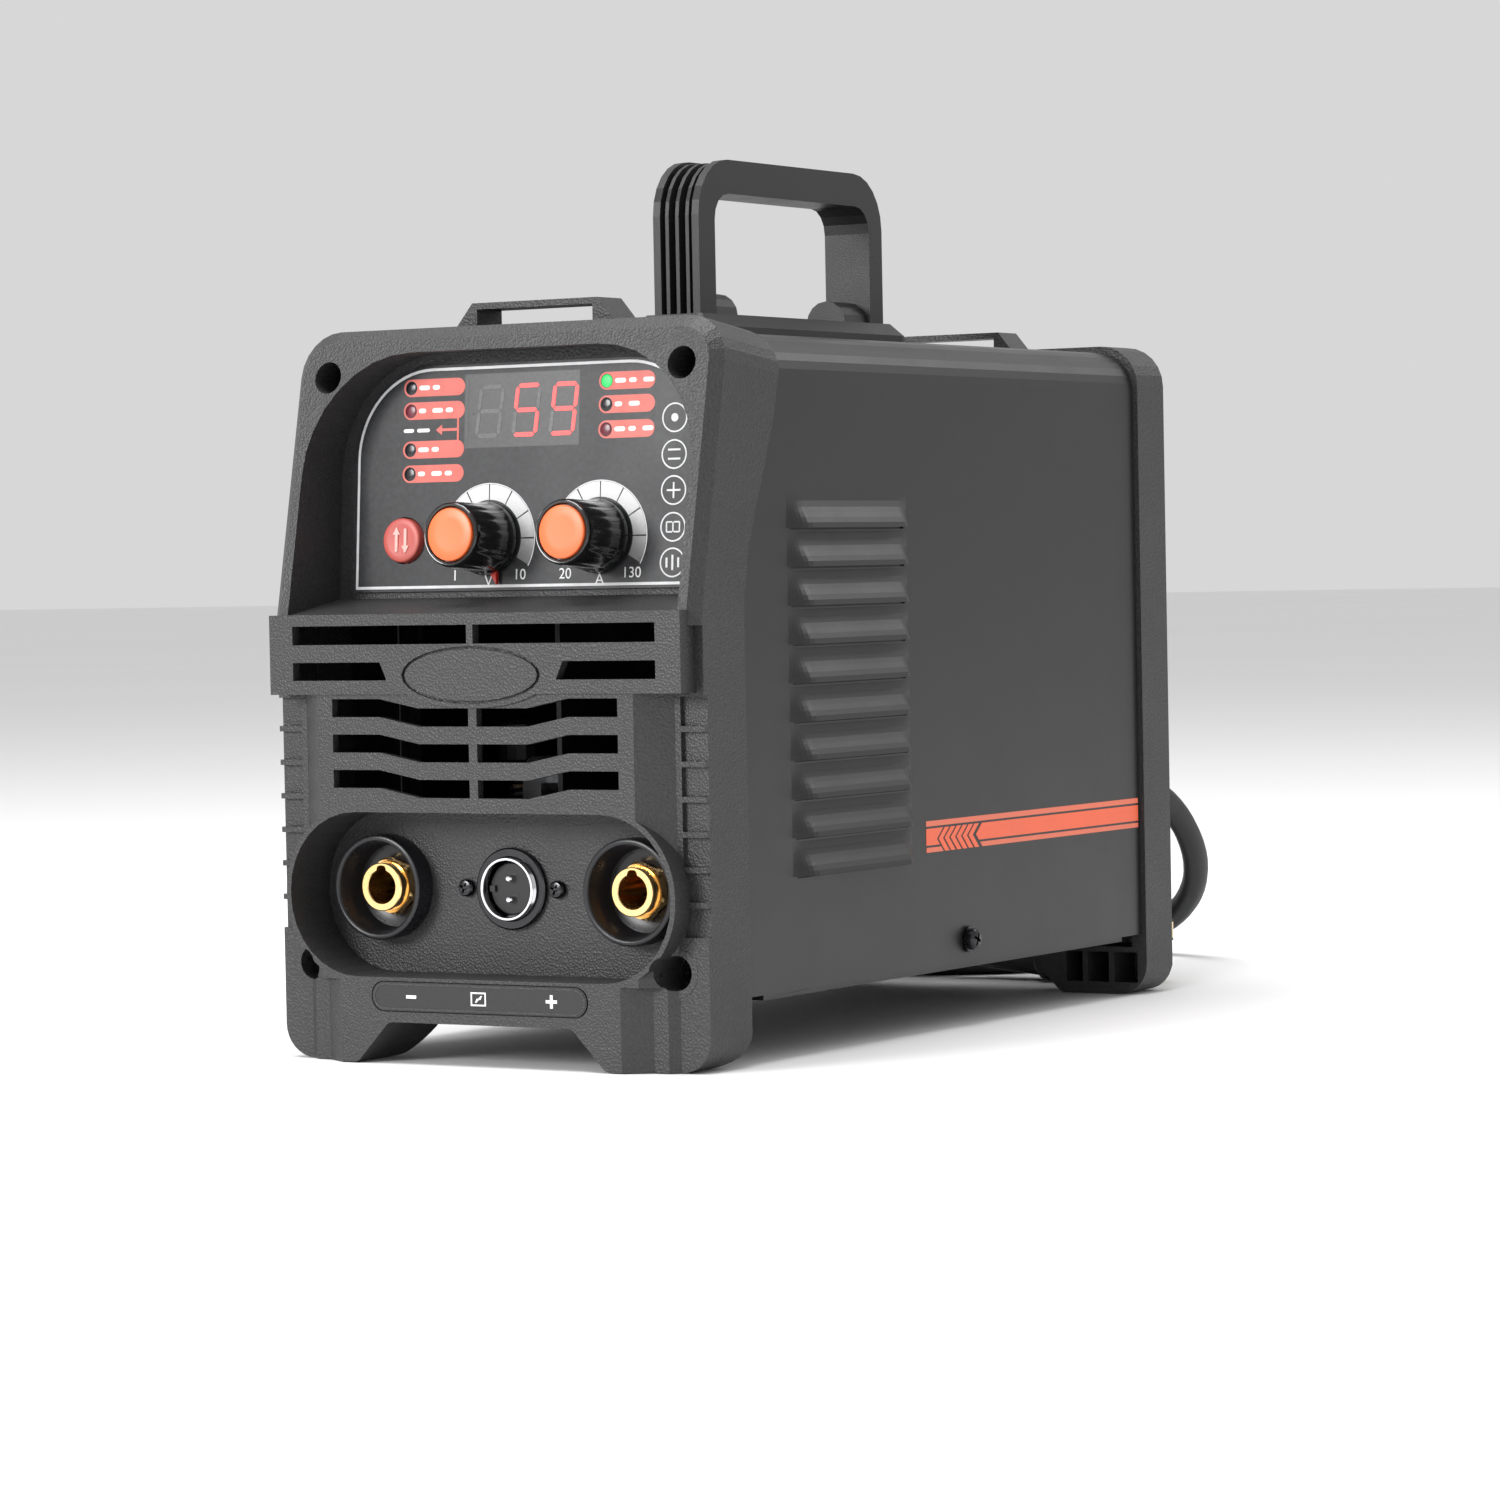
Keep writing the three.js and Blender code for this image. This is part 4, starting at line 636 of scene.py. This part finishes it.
def build_pills():
    """Coloured fields with a hole for each lamp, plain bars in place of their words, and the lamps."""
    fields, marks = [], []
    for column, (x0, x1, _, zs) in enumerate(LAMP_COLUMNS):
        for i, z in enumerate(zs):
            outer = pill(x0, x1, z, FIELD_HEIGHT, 14, 12)
            fields.append(printed_ring(outer, ring_towards(outer, x0 + 2.4, z, LAMP_HOLE), 0.07))
            for j in range(2 + (i + column) % 2):
                left = x0 + 5 + j * 4.4
                marks.append(pill(left, left + 3.5 - 1.1 * ((i + j) % 2), z, 1.25, 4))
    publish("lamp_fields", *merged(*fields), SALMON, place=PANEL)
    printed("lamp_field_marks", marks, WHITE, 0.1)
    bracket = [bar(-23.0, 45.8, -23.0, 39.9, 0.6), bar(-23.3, 42.8, -28.2, 42.8, 0.75),
               [(-30.2, 42.8), (-28.2, 44.2), (-28.2, 41.4)]]
    printed("field_bracket", bracket, SALMON, 0.08)
    printed("field_note", [pill(-40.8, -37.4, 42.8, 1.0, 4), pill(-36.4, -32.2, 42.8, 1.0, 4)], WHITE, 0.08)
    lamps = [(x, z) for _, _, x, zs in LAMP_COLUMNS for z in zs]
    for i, (x, z) in enumerate(lamps):
        dome = lathe([(0, -1.1), (0.9, -1.07), (1.5, -1), (1.72, -0.9), (1.72, -0.5), (0, -0.5)], 32, x, z)
        publish(f"status_lamp_{i + 1}", *dome, LAMP_LOOKS.get(i, LAMP_OFF), place=PANEL)


def ring_towards(outer, x, z, radius):
    """A circle with one point towards each point of outer, for ribbon()."""
    made = []
    for px, pz in outer:
        angle = math.atan2(pz - z, px - x)
        made.append((x + radius * math.cos(angle), z + radius * math.sin(angle)))
    return made


KNOB_Z = 13.2
KNOBS = (  # name, X, pointer in degrees clockwise from the top, dial words
    ("voltage", -12.4, 163, ("1", "V", "10")),
    ("current", 23.0, 236, ("20", "A", "130")),
)


def build_scales():
    """Eight pale blocks round each knob, from lower left over the top to lower right."""
    for name, x, _, words in KNOBS:
        steps = 8
        parts = []
        for i in range(steps):
            start = 210 - (i + 1) * 240 / steps + 0.9
            end = 210 - i * 240 / steps - 0.9
            parts.append(arc(x, KNOB_Z, 14.5, start, end, 10) + arc(x, KNOB_Z, 10.4, end, start, 10))
        printed(f"{name}_scale", parts, SCALE, 0.06)
        rim = arc(x, KNOB_Z, 14.9, -30, 210, 60) + arc(x, KNOB_Z, 14.6, 210, -30, 60)
        printed(f"{name}_scale_rim", [rim], SILVER, 0.05)
        for word, dx, z, size in zip(words, (-10.7, 0.2, 10.2), (3.6, 2.0, 3.6), (3.1, 3.3, 3.1)):
            letter(f"{name}_dial_{word}", word, x + dx, z, size)


def letter(name, word, x, z, size):
    """A dial number, turned into flat geometry on the overlay."""
    font = bpy.data.curves.new(name, "FONT")
    font.body = word
    font.size = size * 1.3 * MM
    font.align_x = "CENTER"
    font.extrude = 0.03 * MM
    holder = link_new(name + "_text", font)
    bpy.context.view_layer.update()
    mesh = bpy.data.meshes.new_from_object(holder.evaluated_get(bpy.context.evaluated_depsgraph_get()))
    bpy.data.objects.remove(holder)
    mesh.materials.clear()
    mesh.materials.append(WHITE.material)
    piece = link_new(name, mesh)
    spot = Vector((x, FILM_FACE - 0.05, z - size * 0.45)) * MM
    piece.matrix_world = PANEL @ Matrix.Translation(spot) @ Matrix.Rotation(math.pi / 2, 4, "X")
    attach(piece, "machine")


def build_icons():
    """A column of plain ringed symbols at the right of the overlay."""
    rings, marks = [], []
    for i, z in enumerate((43.8, 34.2, 24.8, 15.2, 5.9)):
        x = 45.8
        outer, inner = circle(x, z, 3.9, 40), circle(x, z, 3.5, 40)
        rings.append(printed_ring(outer, inner))
        marks += [
            [circle(x, z, 1.1, 20)],
            [bar(x - 1.9, z - 1.2, x + 1.9, z - 1.2, 0.5), bar(x - 1.9, z + 1.2, x + 1.9, z + 1.2, 0.5)],
            [plus(x, z, 2.1, 0.5)],
            [bar(x - 2, z - 1.3, x - 0.3, z - 1.3, 0.4), bar(x + 0.3, z - 1.3, x + 2, z - 1.3, 0.4),
             bar(x - 2, z + 1.3, x - 0.3, z + 1.3, 0.4), bar(x + 0.3, z + 1.3, x + 2, z + 1.3, 0.4),
             bar(x - 2, z - 1.3, x - 2, z + 1.3, 0.4), bar(x, z - 1.3, x, z + 1.3, 0.4),
             bar(x + 2, z - 1.3, x + 2, z + 1.3, 0.4)],
            [bar(x - 1.8, z - 1.3, x - 1.8, z + 1.3, 0.6), bar(x, z - 2, x, z + 2, 0.6),
             bar(x + 1.8, z - 1.3, x + 1.8, z + 1.3, 0.6)],
        ][i]
    publish("symbol_rings", *merged(*rings), SILVER, place=PANEL)
    printed("symbol_marks", marks, SILVER, 0.06)


def build_panel_print():
    border = printed_ring(overlay_outline(0.75), overlay_outline(1.5))
    publish("overlay_border", *border, SILVER, place=PANEL)
    edge = [(-20.9, 37.6), (15.9, 37.6), (15.9, 57.4), (-20.9, 57.4)]
    hole = [(-19.6, 38.9), (14.6, 38.9), (14.6, 56.1), (-19.6, 56.1)]
    publish("display_surround", *ribbon(edge, hole, FILM_FACE - 0.03, FILM_FACE - 0.004), LENS, place=PANEL)
    build_display()
    build_pills()
    build_scales()
    build_icons()


def build_knobs():
    """Fluted knobs with a coloured insert and a pointer at the foot."""
    flutes = 18

    def fluted(angle, radius, y):
        grip = 1 - abs((y + 10.5) / 9) ** 3 if -19 < y < -2.2 else 0
        return radius - 0.2 * max(0, grip) * (0.5 + 0.5 * math.cos(flutes * angle)) ** 3

    for name, x, pointer, _ in KNOBS:
        profile = [(0, -1.3), (9.1, -1.3), (9.6, -1.45), (9.8, -1.8), (9.8, -3.2), (9.65, -3.7),
                   (9.3, -4.5), (9.15, -6), (9.05, -9), (8.95, -12), (8.85, -15), (8.78, -17.2),
                   (8.7, -18.1), (8.5, -18.75), (8.15, -19.05), (7.75, -19.05), (7.45, -18.8),
                   (7.3, -18.3), (7.3, -17.7), (0, -17.7)]
        body = lathe(profile, 144, x, KNOB_Z, fluted)
        shaft = lathe([(0, -1.4), (3, -1.4), (3, 7), (0, 7)], 32, x, KNOB_Z)
        publish(f"{name}_knob_body", *merged(body, shaft), GLOSS, f"{name}_knob", PANEL, 40,
                stand_in=[f"{name}_knob"], slot="gloss_black")
        cap = lathe([(0, -17.9), (6.9, -17.9), (7.05, -18.1), (7.05, -18.9), (6.9, -19.2), (6.5, -19.34),
                     (4, -19.28), (0, -19.22)], 96, x, KNOB_Z)
        publish(f"{name}_knob_insert", *cap, ORANGE, f"{name}_knob", PANEL, 40,
                stand_in=[f"{name}_knob_cap"], slot="orange_cap")
        turn = math.radians(pointer)
        tip = (x + 13.0 * math.sin(turn), KNOB_Z + 13.0 * math.cos(turn))
        side = (math.cos(turn) * 1.3, -math.sin(turn) * 1.3)
        root = (x + 9.1 * math.sin(turn), KNOB_Z + 9.1 * math.cos(turn))
        arrow = slab([(root[0] - side[0], root[1] - side[1]), tip, (root[0] + side[0], root[1] + side[1])],
                     -2.7, -1.5)
        publish(f"{name}_knob_pointer", *arrow, POINTER, f"{name}_knob", PANEL, bevel=0.15)


def build_key():
    """The push button, with two arrows on its face."""
    x, z = -39.8, KNOB_Z
    disc = lathe([(0, -2.5), (4.2, -2.72), (5.5, -2.8), (5.85, -2.6), (6, -2.2), (6, 2.8), (7.6, 2.8),
                  (7.6, 4.2), (0, 4.2)], 72, x, z)
    publish("mode_button_cap", *disc, KEY, "mode_button", PANEL, 40, stand_in=["mode_button"], slot="red_key")
    arrows = []
    for side, way in ((-1, 1), (1, -1)):
        cx = x + side * 1.45
        tail, neck, tip = z - 3.1 * way, z + 1.5 * way, z + 3.6 * way
        arrows.append(slab([(cx - 0.45, tail), (cx + 0.45, tail), (cx + 0.45, neck), (cx + 1.2, neck),
                            (cx, tip), (cx - 1.2, neck), (cx - 0.45, neck)], -2.95, -2.5))
    publish("mode_button_arrows", *merged(*arrows), KEY_ARROW, "mode_button", PANEL, bevel=0.05)


build_panel_print()
build_knobs()
build_key()


# ---------------------------------------------------------------- sockets and connector

SOCKET_X, SOCKET_Z = 40, 45.8


def keyed(angle, radius, y):
    """The bayonet bore: round, with a narrow slot at its top."""
    if radius > 5.5:
        return radius
    slot_half = 1.55
    across = radius * abs(math.sin(angle))
    if math.cos(angle) > 0 and across < slot_half:
        return radius + 1.15 * (1 - (across / slot_half) ** 4)
    return radius


def hexagonal(angle, radius, y):
    """Six flats cut across a round flange."""
    if radius < 7:
        return radius
    part = (angle + math.radians(12)) % (TAU / 6) - TAU / 12
    return min(radius, 6.85 / math.cos(part))


def build_sockets():
    """A nylon cup, a keyed brass contact with its nut, and raised dashes round the cup's floor."""
    for name, side in (("negative", -1), ("positive", 1)):
        x = side * SOCKET_X
        collar = [(6.95, 20.7), (7.3, 20.45), (11.1, 20.45), (11.4, 20.1), (12.2, 12.4), (12.45, 11.85),
                  (12.9, 11.6), (13.5, 11.62), (13.9, 11.85), (14.1, 12.4), (14.1, 17.7), (12.9, 17.7),
                  (12.9, 34), (6.95, 34), (6.95, 20.7)]
        publish(f"{name}_socket_body", *lathe(collar, 128, x, SOCKET_Z), SOCKET, place=MACHINE, sharp=38,
                stand_in=[f"{name}_socket"], slot="black_plastic")
        rim = [(4.45, 14.15), (4.65, 13.95), (6.25, 13.95), (6.5, 14.2), (6.5, 44), (4.45, 44), (4.45, 14.15)]
        nut = [(6.3, 17.4), (7.2, 17.2), (7.9, 17.6), (7.9, 20.4), (6.3, 20.4), (6.3, 17.4)]
        publish(f"{name}_contact_sleeve", *merged(lathe(rim, 160, x, SOCKET_Z, keyed),
                lathe(nut, 96, x, SOCKET_Z, hexagonal)), BRASS, sharp=30,
                stand_in=[f"{name}_contact"], slot="brass")
        marks = []
        for angle in (28, 62, 118, 152, 208, 242, 298, 332):
            outer = arc(x, SOCKET_Z, 10.7, angle - 7, angle + 7, 6)
            inner = arc(x, SOCKET_Z, 10.25, angle + 7, angle - 7, 6)
            marks.append(slab(outer + inner, 20.25, 20.6))
        publish(f"{name}_socket_marks", *merged(*marks), SOCKET)


def build_trigger_connector():
    """A threaded shell with a dark flange, a keyed core and two pins."""
    shell = [(7.55, 14.75), (7.7, 14.6), (8.2, 14.6), (8.4, 14.8)]
    for i in range(3):
        shell += [(8.4, 14.95 + i * 0.45), (8.2, 15.15 + i * 0.45), (8.4, 15.35 + i * 0.45)]
    shell += [(8.4, 16.6), (8, 17.7), (8, 30), (7.55, 30), (7.55, 14.75)]
    flange = lathe([(8.45, 16.5), (8.7, 16.35), (10.5, 16.4), (10.9, 16.7), (10.9, 17.7), (8.45, 17.7),
                    (8.45, 16.5)], 96, 0, SOCKET_Z)
    publish("trigger_connector_flange", *flange, SCREW)
    publish("trigger_connector_shell", *lathe(shell, 96, 0, SOCKET_Z), CHROME, sharp=30,
            stand_in=["trigger_socket_shell"], slot="chrome")
    core = [lathe([(0, 17.4), (6.6, 17.4), (7, 17.7), (7, 31), (0, 31)], 64, 0, SOCKET_Z),
            slab(bar(-6.6, SOCKET_Z, -5, SOCKET_Z, 1.6), 16.6, 17.6)]
    publish("trigger_connector_core", *merged(*core), BLACK, stand_in=["trigger_socket_insert"],
            slot="black_plastic")
    pins = [lathe([(0, 15.4), (0.65, 15.45), (0.95, 15.8), (1, 16.2), (1, 19), (0, 19)], 24, 0,
                  SOCKET_Z + side * 2.8) for side in (-1, 1)]
    publish("trigger_connector_pins", *merged(*pins), CHROME)


def cross_screw(name, x, y, z, radius, height, look=SCREW, axis="Y", body="machine", stand_in=(), shank=1.2,
                depth=8.0, washer=0.0):
    """A pan-head screw with a cross recess; its head faces -Y for axis Y, and likewise +X, -X or +Y."""
    dome = [(0, 0), (0.45, 0.03), (0.8, 0.16), (0.96, 0.42), (1, 0.75), (1, 1)]
    profile = [(radius * across, height * down) for across, down in dome]
    profile += [(shank, height), (shank, height + depth), (0, height + depth)]
    piece = link_new(name, mesh_in_mm(name, *lathe(profile, 48)))
    blades = slab(plus(0, 0, radius * 0.62, radius * 0.26), -1, height * 0.62)
    carve(piece, link_new("cutter", mesh_in_mm("cutter", *blades)))
    piece.data.materials.clear()
    piece.data.materials.append(look.material)
    turn = {"Y": Matrix.Identity(4), "X": Matrix.Rotation(math.pi / 2, 4, "Z"),
            "-X": Matrix.Rotation(-math.pi / 2, 4, "Z"), "-Y": Matrix.Rotation(math.pi, 4, "Z")}[axis]
    piece.matrix_world = (MACHINE @ Matrix.Translation((x * MM, y * MM, z * MM)) @ turn
                          @ Matrix.Rotation(math.radians(23), 4, "Y"))
    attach(piece, body)
    if stand_in:
        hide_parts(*stand_in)
    if washer:
        bore, face, back = 1.3, height, height + 0.8
        ring = lathe([(bore, face), (washer, face), (washer, face + 0.25), (washer - 0.2, back), (bore, back),
                      (bore, face)], 40)
        publish(name + "_washer", *ring, look, body, piece.matrix_world.copy())


def build_screws():
    for hand, side in (("left", -1), ("right", 1)):
        cross_screw(f"front_screw_{hand}_top", side * 56.3, 28, 182.6, 3.6, 2.2, SCREW_DEEP,
                    stand_in=[f"front_screw_upper_{hand}"])
        cross_screw(f"front_screw_{hand}_low", side * 57.6, 14, 25.7, 3.6, 2.2, SCREW_DEEP,
                    stand_in=[f"front_screw_lower_{hand}"])
        cross_screw(f"connector_screw_{hand}", side * 14.5, 15.9, SOCKET_Z, 2.4, 1.7, depth=6)
    for hand, side, axis in (("right", 1, "X"), ("left", -1, "-X")):
        cross_screw(f"side_screw_{hand}", side * 70.2, 144.3, 24.5, 3.0, 2.1, axis=axis,
                    stand_in=[f"cover_screw_{hand}"], washer=3.8, depth=9)
    for i, (x, z) in enumerate(((-57.6, 25.7), (57.6, 25.7), (-56.5, 180.5), (56.5, 180.5))):
        cross_screw(f"rear_screw_{i + 1}", x, 267.0, z, 3.5, 2.2, axis="-Y", depth=9)


build_sockets()
build_trigger_connector()
build_screws()


# ---------------------------------------------------------------- printed stripe and polarity marks

COVER_SIDE = 67.0                      # X of the louvred side


def on_side(outline, lift=0.08):
    """A flat mark on the louvred side, from Y-Z points."""
    verts, faces = slab(outline, 0, lift)
    return [(COVER_SIDE + y, x, z) for x, y, z in verts], [tuple(reversed(f)) for f in faces]


def build_stripe():
    """A stripe in two tones, broken near its front by a row of chevrons."""
    y0, y1 = 121.5, 249.2
    low, high, middle = 49.9, 56.5, 53.5
    tips = [128.4 + 3.4 * i for i in range(7)]
    back = 3.6
    gap = 0.95
    pale = [on_side([(y0, 57.1), (y1, 57.1), (y1, 58.6), (y0, 58.6)]),
            on_side([(y0, low), (tips[0] + back - gap, low), (tips[0] + back * 0.62 - gap, low + 1.35),
                     (y0, low + 1.35)]),
            on_side([(tips[6] + back + gap, low), (y1, low), (y1, low + 1.35),
                     (tips[6] + back * 0.62 + gap, low + 1.35)])]
    main = [on_side([(y0, low + 1.95), (tips[0] + back * 0.45 - gap, low + 1.95), (tips[0] - gap, middle),
                     (tips[0] + back - gap, high), (y0, high)]),
            on_side([(tips[6] + gap, middle), (tips[6] + back * 0.45 + gap, low + 1.95), (y1, low + 1.95),
                     (y1, high), (tips[6] + back + gap, high)])]
    for first, second in zip(tips, tips[1:]):
        heel = second + back - gap
        main.append(on_side([(first + back, high), (first, middle), (first + back, low), (heel, low),
                             (second - gap, middle), (heel, high)]))
    publish("side_stripe_pale", *merged(*pale), STRIPE_PALE)
    publish("side_stripe_main", *merged(*main), STRIPE)


def build_polarity_marks():
    """Minus, a framed symbol and plus on the strip under the sockets, inside a thin border."""
    z, front, back = 17.9, 0.36, 0.52
    frame_outer = [(-2.3, 16.1), (2.5, 16.1), (2.5, 19.7), (-2.3, 19.7)]
    frame_inner = [(-1.9, 16.5), (2.1, 16.5), (2.1, 19.3), (-1.9, 19.3)]
    step = [(-0.95, 17.0), (-0.5, 17.0), (0.2, 17.75), (0.75, 17.75), (1.3, 18.8), (0.85, 18.8),
            (0.15, 18.05), (-0.4, 18.05)]
    parts = [slab(bar(-23, z, -19.8, z, 0.85), front, back), slab(plus(23.1, z, 1.75, 0.85), front, back),
             ribbon(frame_outer, frame_inner, front, back), slab(step, front, back)]
    publish("polarity_marks", *merged(*parts), WHITE)
    border = ribbon(pill(-33.6, 33.6, z, 7.0, 10), pill(-33.1, 33.1, z, 6.0, 10), 0.4, back)
    publish("polarity_border", *border, CHARCOAL)


def build_plug_metal():
    """Metal skins over the plug's two blades and its earth pin."""
    y = COIL_Y - 52
    outline = [(38, 12.37), (53.4, 12.37), (54.03, 13.2), (54.03, 18), (53.4, 18.83), (38, 18.83)]
    half_gap, half_thick = 6.35, 0.78
    blades = []
    for middle in (y - half_gap, y + half_gap):
        blades.append(slab(outline, middle - half_thick, middle + half_thick))
    publish("plug_blades", *merged(*blades), PRONG)
    verts, faces = lathe([(0, 38), (2.43, 38), (2.43, 54.6), (1.9, 55.6), (0.9, 56.03), (0, 56.03)], 32)
    turned = [(py, px + y, pz + 6) for px, py, pz in verts]
    publish("plug_earth_pin", turned, [tuple(reversed(face)) for face in faces], PRONG)


build_stripe()
build_polarity_marks()
build_plug_metal()


# ---------------------------------------------------------------- floor and light

def build_stage():
    floor_look = Look("studio_floor", (0.86, 0.86, 0.86), 0.7).mottle(0.01, 1.5)
    half, drop = 14000, -0.2
    corners = [(-half, -half, drop), (half, -half, drop), (half, half, drop), (-half, half, drop)]
    mesh = mesh_in_mm("studio_floor", corners, [(0, 1, 2, 3)])
    mesh.materials.append(floor_look.material)
    floor = link_new("studio_floor", mesh)


def add_light(name, place, target, size, power, size_y=None):
    """A rectangular lamp turned to face its target."""
    data = bpy.data.lights.new(name, "AREA")
    data.shape = "RECTANGLE"
    data.size = size
    data.size_y = size_y or size
    data.energy = power
    light = link_new(name, data)
    light.location = place
    light.rotation_mode = "QUATERNION"
    light.rotation_quaternion = (Vector(target) - Vector(place)).to_track_quat("-Z", "Y")


def build_lights():
    world = bpy.data.worlds.new("studio")
    bpy.context.scene.world = world
    world.use_nodes = True
    shade = world.node_tree.nodes["Background"]
    shade.inputs["Color"].default_value = (1, 1, 1, 1)
    shade.inputs["Strength"].default_value = 0.68
    bpy.context.scene.view_settings.view_transform = "Standard"
    centre = (0, 0, 0.12)
    add_light("overhead", (-0.1, -0.35, 1.7), centre, 1.3, 30, 0.9)
    add_light("front_left", (-0.75, -1.9, 0.75), centre, 0.7, 30)
    add_light("side", (1.5, -1.9, 0.12), (0.07, -0.1, 0.08), 0.35, 3.0, 0.9)
    add_light("rim", (0.9, 1.5, 1.4), centre, 0.9, 7)


build_stage()
build_lights()
